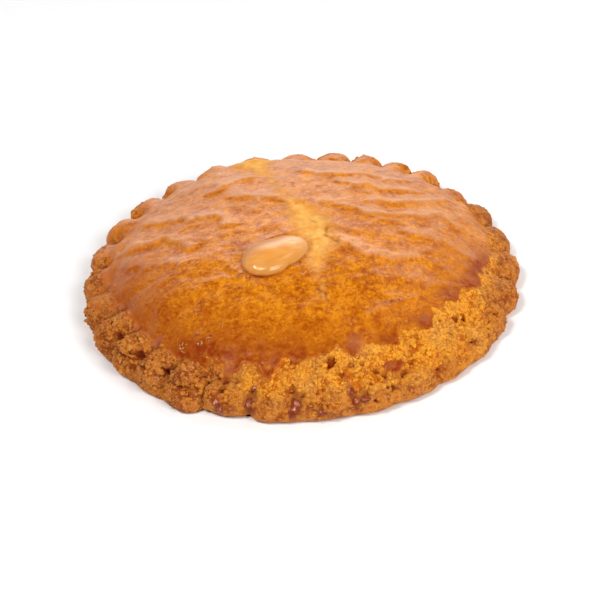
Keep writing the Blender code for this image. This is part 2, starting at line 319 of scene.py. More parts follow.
# The pale band where the skin cracked over the top: x, y, half width
PALE_BAND = (
    (-12.5, 50.0, 3.0), (-10.5, 40.0, 5.0), (-9.0, 34.0, 2.0), (-6.0, 24.0, -0.6),
    (-2.5, 13.0, -0.2), (1.0, 6.0, 2.4), (3.5, 0.0, 4.2), (4.6, -6.0, 4.0),
    (4.0, -12.0, 2.0), (3.4, -18.0, -0.2), (4.8, -26.0, -0.8),
)

# Fine cracks: half width, depth, then points
CRACKS = (
    (0.35, 0.7, (6.8, -1.5), (6.2, -4.5), (7.6, -6.5)),
    (0.3, 0.6, (7.6, -6.5), (9.0, -8.0)),
    (0.4, 0.5, (-0.6, -15.2), (0.4, -16.6), (0.2, -18.4)),
    (0.3, 0.6, (3.0, -23.0), (5.2, -24.6), (5.4, -27.0)),
    (0.3, 0.5, (3.2, 2.0), (4.6, 0.8)),
    (0.3, 0.5, (-0.8, 21.0), (-0.4, 18.0)),
)

# Glossy dark drips of filling on the front wall: azimuth, height, half width, half length
DRIPS = (
    (253.9, 4.6, 0.8, 1.0), (254.4, 6.0, 0.6, 0.7), (246.8, 3.2, 0.6, 1.1),
    (245.6, 4.8, 0.5, 0.8), (266.3, 4.6, 0.8, 1.6), (265.3, 3.4, 0.7, 0.9),
    (272.6, 3.4, 0.8, 0.5), (280.9, 5.2, 0.7, 0.9), (281.6, 4.2, 0.6, 0.8),
    (284.0, 4.6, 0.8, 0.6),
)

# Bubbles of egg wash: x, y, spread of the group, how many
BUBBLES = (
    (-24.7, -29.8, 0.5, 8), (-22.0, -31.9, 0.5, 9), (-24.4, -32.4, 0.4, 7),
    (-28.7, -31.1, 0.5, 9), (-29.2, -33.0, 0.4, 6), (-18.9, -30.1, 0.4, 5),
    (-34.0, -32.5, 0.6, 8), (-24.5, -25.0, 0.5, 4), (18.6, -27.9, 0.5, 8),
    (20.4, -27.1, 0.4, 7), (22.0, -26.3, 0.4, 5), (-13.6, -16.8, 0.4, 5),
    (-12.4, -18.2, 0.3, 4), (-41.0, -19.3, 0.3, 4), (-10.8, -41.0, 0.45, 9),
)

# Mauve film on the inner ends of the knobs and on the tongues: x, y, radius, strength
FILMS = (
    (-43.2, -12.4, 1.7, 0.9), (-39.5, -20.6, 1.7, 0.9), (-34.1, -27.0, 1.6, 0.9),
    (-27.0, -36.3, 1.5, 0.8), (-17.6, -40.2, 1.3, 0.5), (10.9, -37.7, 2.2, 0.7),
    (27.6, -29.3, 1.4, 0.6), (37.6, -20.5, 1.2, 0.5), (39.7, -14.4, 1.6, 0.5),
    (-48.0, 1.3, 2.6, 0.6), (-46.0, -4.0, 1.8, 0.5),
)

# Deep pits in the bare crumb: x, y, height, radius
HOLES = (
    (16.8, -43.0, 5.9, 1.0), (18.8, -46.1, 4.7, 0.8), (21.3, -43.0, 5.8, 0.8),
    (17.8, -44.3, 4.8, 0.5), (5.1, -41.7, 10.0, 1.2), (6.7, -44.2, 8.1, 0.8),
    (7.6, -44.0, 8.1, 0.6), (-3.8, -41.4, 10.0, 0.6), (-2.5, -41.6, 10.0, 0.6),
    (15.1, -43.0, 7.5, 0.9), (12.1, -41.9, 8.9, 0.7), (9.6, -42.3, 9.1, 0.7),
    (-5.9, -45.6, 7.2, 0.5), (-4.0, -46.5, 6.9, 0.7), (25.1, -34.5, 9.5, 0.7),
    (23.5, -36.5, 8.9, 0.6), (26.6, -37.1, 7.6, 0.6), (33.0, -31.0, 7.6, 0.6),
    (34.4, -27.4, 8.8, 0.9), (36.2, -27.0, 8.3, 0.8), (-18.9, -41.9, 6.6, 0.8),
    (-19.9, -44.8, 6.4, 1.0), (-16.0, -42.6, 6.9, 0.7), (-23.6, -38.9, 7.3, 0.8),
    (-38.5, -29.6, 6.6, 1.6), (-31.6, -36.2, 5.9, 1.5), (-43.5, -22.0, 7.0, 1.5),
)

# A patch of glaze left on the bare crumb: x, y, half width, half depth
GLAZE_ISLAND = (19.2, -41.2, 3.0, 1.2)


# ---- Finish ----

CRUST_FIELDS = (
    "glazed", "ridge", "pale", "pool", "browned", "cavity",
    "stain", "high", "rubbed", "matt", "mauve",
)
# Textures of the crust: size in millimetres, detail, roughness
CRUST_TEXTURES = (
    ("mottle", 7.0, 4.0, 0.65),
    ("dapple", 2.2, 4.0, 0.65),
    ("grain", 0.5, 2.0, 0.6),
    ("granules", 0.75, 3.0, 0.7),
)
FLECK_SIZE = 0.9
CREASE_SIZE = 2.0
GLINT_SIZE = 0.8
CRUMB_GRAIN_SIZE = 0.7
PIMPLE_SIZE = 1.25
# How much rougher each field makes the crust
ROUGHNESS_SHARES = (
    ("cavity", 0.20), ("stain", -0.30), ("pool", 0.09), ("matt", 0.16), ("mauve", 0.22)
)
STREAK_SCALE = (0.18, 1.0, 1.0)

# ---- Stage: places and widths in metres, the sensor in millimetres ----

STAGE_MIDDLE = (0.0, 0.0, 0.01)
SENSOR_WIDTH = 36.0
# Lights: name, width, the setting that holds its power, share of that power, place
LIGHTS = (
    ("back_wall", 1.0, "back_power", 1.0, (0.0, 1.20, 0.40)),
    ("left_light", 0.28, "key_power", 0.74, (-0.33, -0.33, 0.745)),
    ("right_light", 0.55, "key_power", 1.0, (0.45, -0.55, 0.52)),
    ("right_spark", 0.20, "spark_power", 1.1, (0.385, 0.15, 0.62)),
)


# ---- Small sums ----


def smooth_step(low, high, value):
    """0 below low, 1 above high and an even ramp between them."""
    share = min(max((value - low) / (high - low), 0.0), 1.0)
    return share * share * (3.0 - 2.0 * share)


def smooth_steps(low, high, values):
    """The same ramp for an array."""
    shares = np.clip((values - low) / (high - low), 0.0, 1.0)
    return shares * shares * (3.0 - 2.0 * shares)


def mix(first, second, share):
    """The first value at share 0 and the second at share 1."""
    return first + (second - first) * share


def sector(azimuth, start, end, fade):
    """1 between two azimuths, fading to 0 over the fade on either side."""
    off_middle = abs((azimuth - (start + end) / 2.0 + 180.0) % 360.0 - 180.0)
    return 1.0 - smooth_step(0.0, fade, off_middle - (end - start) / 2.0)


def sectors(azimuths, start, end, fade):
    """The same stretch of the rim for an array."""
    off_middle = np.abs((azimuths - (start + end) / 2.0 + 180.0) % 360.0 - 180.0)
    return 1.0 - smooth_steps(0.0, fade, off_middle - (end - start) / 2.0)


def bell(offs, width):
    """1 where the array is 0, falling off evenly past the width."""
    return np.exp(-((offs / width) ** 2))


def softly_higher(first, second, blend):
    """The higher of two heights, with the corner where they cross filled in."""
    return (first + second + math.hypot(first - second, blend)) / 2.0


# ---- The solids' form ----


def crowded(phase):
    """The true azimuth of a place on an evenly divided rim."""
    azimuth = phase + FIRST_SCALLOP
    for turns, swing, start in CROWDING:
        azimuth += swing * math.sin(math.radians(turns * phase + start))
    return azimuth


def dome_height(radius, drawn_in=0.0):
    """Height of the smooth dome at this radius."""
    share = min(radius / (DOME_RADIUS - drawn_in), 1.0)
    return DOME_FOOT_HEIGHT + DOME_RISE * (1.0 - share**DOME_FLATNESS) ** DOME_SHOULDER


def bead_height(radius, knobbed):
    """Height of the bead's inner half, which reaches further in and up where it is knobbed."""
    top_radius = BEAD_RADIUS - KNOB_DRAWN_IN * knobbed
    curve = BEAD_CURVE if radius < top_radius else BEAD_CURVE / 2.0
    return BEAD_TOP + KNOB_LIFT * knobbed - curve * (radius - top_radius) ** 2


def beaded_section(path, knobbed):
    """(radius, height) of the dome, the crease round it and the bead's upper half."""
    if path <= BEAD_RADIUS:
        crease = CREASE_RADIUS - KNOB_DRAWN_IN * knobbed
        at_edge = smooth_step(KNOB_INNER_RADIUS, crease, path)
        dome = dome_height(path, KNOB_DRAWN_IN * knobbed * at_edge)
        bead = bead_height(path, knobbed) * smooth_step(crease - BEAD_RISE_RUN, crease, path)
        return path, softly_higher(dome, bead, CREASE_BLEND)
    turn = QUARTER_TURN * min((path - BEAD_RADIUS) / UPPER_ARC, 1.0)
    return (
        mix(BEAD_RADIUS, TIP_RADIUS, math.sin(turn)),
        mix(TIP_HEIGHT, bead_height(BEAD_RADIUS, knobbed), math.cos(turn)),
    )


def crumbled_section(path):
    """The same length of skin where the rim is a plain slope, drawn as a cubic curve."""
    if path <= SLOPE_START_RADIUS:
        return path, dome_height(path)
    along = min((path - SLOPE_START_RADIUS) / (WIDEST_PATH - SLOPE_START_RADIUS), 1.0)
    corners = (
        (SLOPE_START_RADIUS, SLOPE_START_HEIGHT),
        (SLOPE_START_RADIUS + SLOPE_RUN, SLOPE_START_HEIGHT - SLOPE_DROP),
        (SLOPE_TIP_RADIUS, SLOPE_TIP_HEIGHT + SLOPE_WALL),
        (SLOPE_TIP_RADIUS, SLOPE_TIP_HEIGHT),
    )
    weights = (
        (1.0 - along) ** 3,
        3.0 * along * (1.0 - along) ** 2,
        3.0 * along**2 * (1.0 - along),
        along**3,
    )
    return tuple(sum(w * corner[axis] for w, corner in zip(weights, corners)) for axis in (0, 1))


def section(path, azimuth):
    """(radius, height) at a path length over the skin from the top's middle to the foot."""
    crumbled = max(sector(azimuth, *CRUMBLED), HALF_SLOPE * sector(azimuth, *HALF_CRUMBLED))
    knobbed = sector(azimuth, *KNOBS)
    upper = min(path, WIDEST_PATH)
    beaded = beaded_section(upper, knobbed)
    slope = crumbled_section(upper)
    radius = mix(beaded[0], slope[0], crumbled)
    height = mix(beaded[1], slope[1], crumbled)
    if path <= upper:
        return radius, height
    foot = FOOT_RADIUS + KNOB_FOOT_REACH * knobbed
    turn = QUARTER_TURN * min((path - upper) / LOWER_ARC, 1.0)
    return (
        mix(foot, radius, math.cos(turn)),
        mix(height, FOOT_HEIGHT, math.sin(turn)),
    )


def scallop_arch(phase):
    """1 at a scallop's middle and 0 at the cusps, along an arc of a circle."""
    chord = math.radians(PITCH) * TIP_RADIUS / 2.0
    arc_radius = (chord**2 + CUSP_DEPTH**2) / (2.0 * CUSP_DEPTH)
    off_middle = chord * ((phase / PITCH + 0.5) % 1.0 * 2.0 - 1.0)
    return (math.sqrt(arc_radius**2 - off_middle**2) - arc_radius + CUSP_DEPTH) / CUSP_DEPTH


def scallop_weights(path, azimuth):
    """How strongly the scallops show at this place: over the bead, and down at the foot."""
    crumbled = sector(azimuth, *CRUMBLED)
    knobbed = sector(azimuth, *KNOBS)
    over_bead = mix(mix(1.0, KNOB_SHARE, knobbed), CRUMBLED_SHARE, crumbled)
    at_foot = mix(mix(1.0, KNOB_FOOT_SHARE, knobbed), CRUMBLED_FOOT_SHARE, crumbled)
    inner_edge = GROOVE_RADIUS - KNOB_DRAWN_IN * knobbed
    drawn_in = smooth_step(inner_edge, inner_edge + GROOVE_RUN, path)
    down_wall = smooth_step(WIDEST_PATH, WIDEST_PATH + LOWER_ARC, path)
    return drawn_in * mix(over_bead, at_foot, down_wall)


def dough_lumps(x, y, height, path):
    """Height that the dough's soft lumps and the rim's crags add."""
    place = Vector((x, y, height))
    added = LUMP_HEIGHT * noise.noise(place / LUMP_SIZE)
    azimuth = math.degrees(math.atan2(y, x)) % 360.0
    crumbled = sector(azimuth, *CRUMBLED)
    craggy = mix(CRAG_HEIGHT, CRUMBLED_CRAG_HEIGHT, crumbled)
    craggy *= smooth_step(CRAG_INNER_RADIUS, BEAD_RADIUS, path)
    craggy *= mix(1.0, FOOT_CRAG_SHARE, smooth_step(BEAD_RADIUS, WIDEST_PATH, path))
    added += craggy * noise.noise(place / CRAG_SIZE + CRAG_PLACE)
    off_shoulder = (math.hypot(x, y) - SHOULDER_RADIUS) / SHOULDER_WIDTH
    for start, end, rise in SHOULDERS:
        added += rise * math.exp(-off_shoulder**2) * sector(azimuth, start, end, SHOULDER_FADE)
    for centre_x, centre_y, radius, rise in SWELLINGS:
        off = math.hypot(x - centre_x, y - centre_y) / radius
        added += rise * math.exp(-off * off)
    return added


def crust_place(phase, path):
    """(radius, height, azimuth, lean, scallop weight, arch) of the solid's crust."""
    azimuth = crowded(phase) % 360.0
    radius, height = section(path, azimuth)
    scallop = round(phase / PITCH) % SCALLOPS
    arch = scallop_arch(phase)
    weight = scallop_weights(path, azimuth)
    inward = CUSP_DEPTH * weight * (1.0 - arch)
    inward -= SCALLOP_SWELL[scallop] * weight * arch
    on_wall = smooth_step(CREASE_RADIUS, WIDEST_PATH, path)
    lean = QUARTER_TURN * on_wall
    turn = math.radians(azimuth)
    lump = dough_lumps(radius * math.cos(turn), radius * math.sin(turn), height, path)
    outward = lump - inward
    off_lump = math.radians(azimuth - FOOT_LUMP_AZIMUTH) * FOOT_RADIUS / FOOT_LUMP_WIDTH
    low_foot = math.exp(-(off_lump**2))
    low_foot *= smooth_step(WIDEST_PATH, WIDEST_PATH + LOWER_ARC / 2.0, path)
    radius += outward * math.sin(lean) + FOOT_LUMP_REACH * low_foot
    height += outward * math.cos(lean)
    height += SCALLOP_LIFT[scallop] * weight * arch * (1.0 - on_wall)
    return radius, max(height, FOOT_HEIGHT), azimuth, lean, weight, arch


# ---- Fields over the crust ----


def noise_at(points, size, place):
    """Smooth noise from -1 to 1 at each point."""
    start = Vector(place)
    return np.array([noise.noise(Vector(point) / size + start) for point in points])


def rough_at(points, size, octaves, place):
    """Rounded lumps with sharp creases between them, 0 in the creases."""
    start = Vector(place)
    return np.array(
        [noise.turbulence(Vector(point) / size + start, octaves, True) for point in points]
    )


def cells_at(points, size, place):
    """Distance to the nearest cell's middle, and a number from -1 to 1 for that cell."""
    start = Vector(place)
    nearest = np.empty(len(points))
    lot = np.empty(len(points))
    for index, point in enumerate(points):
        distances, middles = noise.voronoi(Vector(point) / size + start)
        nearest[index] = distances[0]
        lot[index] = noise.cell(middles[0] * CELL_SPREAD)
    return nearest, lot


def plates_at(points, size, place):
    """Plates that lean back: height from -0.5 to 0.5, rising to a scarp at their front edge."""
    start = Vector(place)
    height = np.empty(len(points))
    for index, point in enumerate(points):
        spot = Vector(point) / size + start
        distances, middles = noise.voronoi(spot)
        edge = smooth_step(0.0, 0.30, distances[1] - distances[0])
        height[index] = edge * (middles[0].y - spot.y + 0.25 * noise.cell(middles[0] * CELL_SPREAD))
    return height


def off_line(x, y, start, end):
    """The nearest place's share along a straight line, and how far off it x and y are."""
    run_x, run_y = end[0] - start[0], end[1] - start[1]
    along = ((x - start[0]) * run_x + (y - start[1]) * run_y) / (run_x**2 + run_y**2)
    along = np.clip(along, 0.0, 1.0)
    return along, x - start[0] - along * run_x, y - start[1] - along * run_y


def line_cover(x, y, front_width, back_width, points):
    """1 on a line through the points, falling to 0 past its width to the front and the back."""
    nearest = np.full(len(x), 1e9)
    width = np.full(len(x), back_width)
    for start, end in zip(points, points[1:]):
        _, off_x, off_y = off_line(x, y, start, end)
        off = np.hypot(off_x, off_y)
        width = np.where(off < nearest, np.where(off_y < 0.0, front_width, back_width), width)
        nearest = np.minimum(nearest, off)
    return bell(nearest, width)


def band_cover(x, y, stops, ragged):
    """1 inside a band of changing width, with a ragged edge."""
    inside = np.full(len(x), -1e9)
    for start, end in zip(stops, stops[1:]):
        along, off_x, off_y = off_line(x, y, start, end)
        width = start[2] + along * (end[2] - start[2])
        inside = np.maximum(inside, width - np.hypot(off_x, off_y))
    return smooth_steps(-2.6, 2.6, inside + ragged)


def side_lobes(azimuths):
    """1 on the left and right stretches of the rim, where the lobes kept their shape."""
    return np.maximum(sectors(azimuths, *LEFT_LOBES), sectors(azimuths, *RIGHT_LOBES))


def almond_outline_distance(x, y):
    """Distance outside the almond's outline seen from above, negative inside."""
    turn = math.radians(ALMOND_AZIMUTH)
    east, north = x - ALMOND_CENTRE[0], y - ALMOND_CENTRE[1]
    along = east * math.cos(turn) + north * math.sin(turn)
    across = -east * math.sin(turn) + north * math.cos(turn)
    along_share = along / (ALMOND_LENGTH / 2.0)
    breadth = ALMOND_WIDTH / 2.0 * (1.0 - ALMOND_TAPER * np.clip(along_share, -1.0, 1.0))
    level = (
        np.abs(along_share) ** ALMOND_BLUNTNESS + np.abs(across / breadth) ** ALMOND_BLUNTNESS
    ) ** (1.0 / ALMOND_BLUNTNESS)
    return (level - 1.0) / np.maximum(level, 0.05) * np.hypot(along, across)


def soft_spot(skin, centre_x, centre_y, half_width, half_depth):
    """1 in the middle of an oval spot seen from above, falling off past its half sizes."""
    across = (skin.x - centre_x) / half_width
    along = (skin.y - centre_y) / half_depth
    return np.exp(-(across**2) - along**2)


def read_skin(places):
    """The crust's vertices as named arrays, with the stretches and the noise that all share."""
    skin = SimpleNamespace()
    skin.radius, skin.height, skin.azimuth, skin.lean = places.T[:4]
    skin.weight, skin.arch, skin.path = places.T[4:]
    turn = np.radians(skin.azimuth)
    skin.x, skin.y = skin.radius * np.cos(turn), skin.radius * np.sin(turn)
    skin.points = np.stack((skin.x, skin.y, skin.height), axis=1)
    skin.front = sectors(skin.azimuth, *FRONT)
    skin.knobbed = sectors(skin.azimuth, *KNOBS)
    skin.crumbled = sectors(skin.azimuth, *CRUMBLED)
    skin.side = side_lobes(skin.azimuth)
    skin.fine = noise_at(skin.points, *FINE_NOISE)
    skin.small = noise_at(skin.points, *SMALL_NOISE)
    skin.medium = noise_at(skin.points, *MEDIUM_NOISE)
    return skin


def lay_glaze(skin):
    """Sets where the glaze lies, how far inside its edge each place is, and the raised lip."""
    fine, small, medium = skin.fine, skin.small, skin.medium
    edge_azimuths, edge_paths = zip(*GLAZE_EDGE)
    skin.edge = np.interp(skin.azimuth, edge_azimuths, edge_paths, period=360.0)
    inside_edge = skin.edge + 1.1 * small + 0.7 * fine - skin.path
    island_x, island_y, island_width, island_depth = GLAZE_ISLAND
    off_island = np.hypot((skin.x - island_x) / island_width, (skin.y - island_y) / island_depth)
    skin.island = 1.0 - off_island + 0.7 * small + 0.6 * fine
    skin.inside_edge = np.maximum(inside_edge, np.minimum(2.0 * skin.island, 1.2))
    left_front = sectors(skin.azimuth, *LEFT_FRONT)
    softness = 0.22 + 1.1 * left_front
    glazed = smooth_steps(-1.0, 1.0, skin.inside_edge / softness + 0.9 * left_front * fine)
    patches = smooth_steps(-0.05, 0.25, small + 0.4 * medium + 0.4 * fine)
    patches *= smooth_steps(*PATCHES_END, skin.path) * sectors(skin.azimuth, *PATCHY_BACK)
    knob_tops = smooth_steps(*KNOB_TOPS_END, skin.path + small + 0.6 * fine) * skin.knobbed
    skin.glazed = np.maximum(glazed, np.maximum(patches, knob_tops))
    skin.lip = bell(skin.inside_edge - 0.9, 0.7) * skin.front


def wrinkle_skin(skin):
    """Sets the raised wrinkles, and the relief that they, the folds and the ripples make."""
    x, y, small, medium = skin.x, skin.y, skin.small, skin.medium
    waver_x, waver_y = x + 1.3 * small, y + 1.5 * medium + 0.8 * small
    ridge = np.zeros(len(x))
    for half_width, rise, *line in WRINKLES:
        back_width = WRINKLE_BACK_SHARE * half_width
        cover = line_cover(waver_x, waver_y, half_width, back_width, line)
        ridge = np.maximum(ridge, rise * cover)
    folded = mix(0.45, 0.7, smooth_steps(-26.0, -4.0, y + 0.25 * np.abs(x) + 5.0 * medium))
    folded *= 1.0 - 0.40 * soft_spot(skin, *CALM_SKIN)
    bend = noise_at(skin.points, *FOLD_BEND)
    flat = np.stack((x + 1.5 * medium, 1.1 * y + 1.2 * bend, np.zeros(len(x))), axis=1)
    strength = smooth_steps(-0.4, 0.4, noise_at(skin.points, *FOLD_STRENGTH))
    plates = plates_at(flat, *FOLD_PLATES) * (0.25 + 0.75 * strength)
    ripples = 0.32 - rough_at(flat, *RIPPLES)
    on_top = smooth_steps(*WRINKLED_TOP, skin.path)
    skin.ridge = on_top * ridge
    skin.relief = 1.1 * skin.ridge + on_top * folded * (0.7 * plates + 1.2 * ripples)


def crack_pale_band(skin):
    """Sets the pale band over the top and the fine cracks in it."""
    skin.pale = band_cover(skin.x, skin.y, PALE_BAND, 1.6 * skin.small + 0.9 * skin.fine)
    skin.pale *= smooth_steps(*PALE_END, skin.path)
    waver_x, waver_y = skin.x + 0.5 * skin.fine, skin.y + 0.5 * skin.small
    skin.crack = np.zeros(len(skin.x))
    for half_width, depth, *line in CRACKS:
        cover = line_cover(waver_x, waver_y, half_width, half_width, line)
        skin.crack = np.maximum(skin.crack, depth * cover)


def break_crumb(skin):
    """Sets the lumps, pits, holes and creases of the crumb where the glaze is missing."""
    points, fine, small, medium = skin.points, skin.fine, skin.small, skin.medium
    bare = np.clip(1.0 - skin.glazed, 0.0, 1.0)
    craggy = bare * smooth_steps(*CRAGS_END, skin.path)
    craggy *= 0.6 + 0.4 * np.maximum(skin.front, skin.knobbed)
    craggy *= 1.0 - 0.30 * skin.side
    skin.craggy = craggy

    lumps = rough_at(points, *DOUGH_LUMPS)
    crumbs = noise_at(points, *CRUMB_GRAINS)
    clods = noise_at(points, *CLODS)
    skin.clumpy = 0.75 * clods + 0.6 * crumbs + 0.35 * fine + 0.8 * (lumps - 0.5) + 0.6 * medium

    nearest, lot = cells_at(points, *PIT_CELLS)
    pit_size = 0.12 + 0.22 * (lot + 1.0) / 2.0
    pits = 1.0 - smooth_steps(0.4 * pit_size, 1.3 * pit_size, nearest)
    skin.pits = pits * (smooth_steps(0.35, 0.6, lot + 1.1 * medium) * craggy)

    skin.hole = np.zeros(len(points))
    for hole_x, hole_y, hole_height, hole_radius in HOLES:
        off = points - np.array((hole_x, hole_y, hole_height))
        off = np.linalg.norm(off, axis=1) / hole_radius + 0.7 * fine + 0.3 * small
        depth = smooth_steps(1.25, 0.55, off) * min(hole_radius, DEEPEST_HOLE)
        skin.hole = np.maximum(skin.hole, depth)

    creased = smooth_steps(-0.1, 0.4, noise_at(points, *CREASED_PLACES))
    near_glaze = bell(np.minimum(skin.inside_edge + 2.2, 0.0), 2.6) * skin.front
    clod_border = np.abs(noise_at(points, *CLOD_BORDERS))
    skin.fine_pits = bell(clod_border, 0.07) * smooth_steps(0.2, -0.5, clods)
    skin.fine_pits *= craggy * np.maximum(creased, 0.9 * near_glaze)
    skin.creases = craggy * (0.4 + 0.6 * creased) * smooth_steps(0.20, 0.04, lumps)


def cut_grooves(skin):
    """Sets the grooves between the scallops, and the undercut below the knobs."""
    knobbed, path = skin.knobbed, skin.path
    off_cusp = np.radians(PITCH) * skin.radius * np.clip(skin.arch, 0.0, 1.0) / 2.0
    groove = bell(off_cusp, 0.5 + 0.75 * knobbed + 0.25 * skin.small)
    groove *= np.clip(skin.weight, 0.0, 1.0) * (1.0 - knobbed * smooth_steps(*KNOB_GROOVES_END, path))
    groove *= smooth_steps(FOOT_PATH, WIDEST_PATH - 1.0, path) * (1.0 - 0.75 * skin.crumbled)
    skin.groove = groove
    skin.undercut = bell(path - UNDERCUT_PATH - 0.7 * skin.small, UNDERCUT_WIDTH) * knobbed
    skin.undercut *= smooth_steps(-0.6, 0.1, skin.medium + 0.5 * skin.fine)


def stain_wall(skin):
    """Sets the stain round each drip."""
    skin.stain = np.zeros(len(skin.x))
    on_rim = smooth_steps(*STAINS_START, skin.path)
    for drip_azimuth, drip_height, half_width, half_length in DRIPS:
        off_run = np.radians(skin.azimuth - drip_azimuth) * TIP_RADIUS / (half_width + STAIN_MARGIN)
        off_rise = (skin.height - drip_height) / (half_length + STAIN_MARGIN)
        off = np.hypot(off_run, off_rise) + 0.3 * skin.small + 0.3 * skin.fine
        skin.stain = np.maximum(skin.stain, smooth_steps(1.3, 0.6, off) * on_rim)


def press_seat(skin):
    """Sets how far each place is outside the almond, and on which side of it."""
    east, north = skin.x - ALMOND_CENTRE[0], skin.y - ALMOND_CENTRE[1]
    skin.outside = almond_outline_distance(skin.x, skin.y)
    skin.before_almond = smooth_steps(3.0, -3.0, north - ALMOND_SLOPE * east)
    skin.at_fat_end = skin.before_almond * smooth_steps(-4.0, -9.0, skin.x)


def skin_moves(skin, settings):
    """How far each place is moved outwards, and how far it is sunk under the almond."""
    waves = 0.13 * skin.small + 0.05 * skin.fine + 0.30 * skin.medium * (1.0 - skin.weight)
    moved = skin.glazed * (settings.wrinkle_height / MM * skin.relief + waves)
    moved += LIP_RISE * skin.lip
    moved += skin.craggy * (settings.crumb_height / MM) * skin.clumpy
    moved -= settings.pit_depth / MM * np.maximum(skin.pits, 0.8 * skin.fine_pits)
    moved -= HOLE_DEPTH * skin.hole
    moved -= PALE_DEPTH * skin.pale * (1.0 - skin.glazed * 0.4) - 0.10 * skin.pale * skin.fine
    moved -= CRACK_DEPTH * skin.crack
    groove_depth = GROOVE_DEPTH + KNOB_GROOVE_DEPTH * skin.knobbed + SIDE_GROOVE_DEPTH * skin.side
    moved -= groove_depth * skin.groove
    draped = sectors(skin.azimuth, *DRAPED_BACK) * bell(skin.path - DRAPE_PATH, DRAPE_WIDTH)
    moved += DRAPE_RISE * draped * (0.55 + 0.8 * skin.medium)
    moved -= UNDERCUT_DEPTH * skin.undercut
    rolled = bell(skin.outside - SEAT_ROLL_OFF, SEAT_ROLL_WIDTH)
    contact = bell(skin.outside, CONTACT_WIDTH)
    roll_rise = SEAT_ROLL_RISE + FAT_END_ROLL_RISE * skin.at_fat_end
    moved += roll_rise * rolled + CONTACT_RISE * contact
    moved += CREPT_RISE * soft_spot(skin, *CREPT_SKIN)
    under = smooth_steps(-0.5, -1.2, skin.outside + 0.7 * (1.0 - skin.before_almond))
    return moved, SEAT_DEPTH * under


def cavity_shade(skin):
    """Painted shade: how dark each pit, hole, crack and groove is drawn, and the undercut below the
    knobs.
    """
    shades = (
        skin.pits,
        0.9 * skin.fine_pits,
        0.75 * skin.creases,
        skin.crack,
        HOLE_DEPTH * skin.hole,
        skin.groove * (0.5 + 0.75 * skin.knobbed + 0.3 * skin.side),
        0.9 * skin.undercut,
    )
    return np.clip(np.maximum.reduce(shades), 0.0, 1.0)


def film_cover(skin):
    """Where the glaze is drawn out to a thin mauve film."""
    cover = np.zeros(len(skin.x))
    for film_x, film_y, film_radius, strength in FILMS:
        off = np.hypot(skin.x - film_x, skin.y - film_y) / film_radius + 0.25 * skin.small
        cover = np.maximum(cover, strength * smooth_steps(1.4, 0.3, off))
    return cover


def glaze_pools_and_contact_shade(skin):
    """Thick dark glaze in the left crease, in the tongues and round bubbles, darker glaze over the
    far left, and round the almond painted contact shade as well as glaze pooled against it.
    """
    toward_edge = smooth_steps(*POOL_START, skin.path + 2.5 * skin.medium)
    pool = toward_edge * (0.35 * skin.front + 0.56 * sectors(skin.azimuth, *POOLED_LEFT))
    # Darker glaze over the far left of the top
    far_left = sectors(skin.azimuth, *DARKER_FAR_LEFT)
    pool += 0.14 * far_left * smooth_steps(*FAR_LEFT_DARKENING_START, skin.path)
    tongue_tip = bell(skin.inside_edge - 0.9, 2.6) * skin.front
    tongue_tip *= smooth_steps(40.6, 42.2, skin.edge)
    pool = np.clip(pool + 0.8 * tongue_tip, 0.0, 1.0) * skin.glazed
    pool = np.maximum(pool, 1.5 * smooth_steps(-0.2, 0.3, skin.island))
    for bubble_x, bubble_y, spread, _ in BUBBLES:
        off = np.hypot(skin.x - bubble_x, 1.3 * (skin.y - bubble_y)) / (spread + 0.5)
        pool = np.maximum(pool, 0.6 * smooth_steps(1.6, 0.4, off + 0.5 * skin.small))
    # Painted contact shade round the almond, strongest at its front and fat end
    contact_shade_strength = 0.1 + 0.45 * skin.before_almond + 0.55 * skin.at_fat_end
    pool = np.maximum(pool, bell(skin.outside - 0.2, 0.6) * contact_shade_strength)
    return np.clip(pool, 0.0, 1.2)


def browning(skin):
    """How brown the rim is baked: most at the left, at the right and down at the foot."""
    azimuth, path, small = skin.azimuth, skin.path, skin.small
    browned = smooth_steps(*BROWN_START, path) * (0.57 + 0.60 * small + 0.45 * skin.medium)
    left_rim = sectors(azimuth, *BROWN_LEFT) * smooth_steps(*BROWN_LEFT_START, path)
    browned = np.maximum(browned, left_rim * (0.95 + 0.6 * small + 0.3 * skin.fine))
    right_rim = sectors(azimuth, *BROWN_RIGHT) * smooth_steps(*BROWN_RIGHT_START, path)
    browned = np.maximum(browned, right_rim * (0.75 + 0.4 * small))
    browned += 0.16 * sectors(azimuth, *BROWN_FRONT) * smooth_steps(*BROWN_FRONT_START, path)
    browned += 0.15 * skin.side
    return np.clip(browned + 0.15 * smooth_steps(*BROWN_FOOT_START, path), 0.0, 1.0)


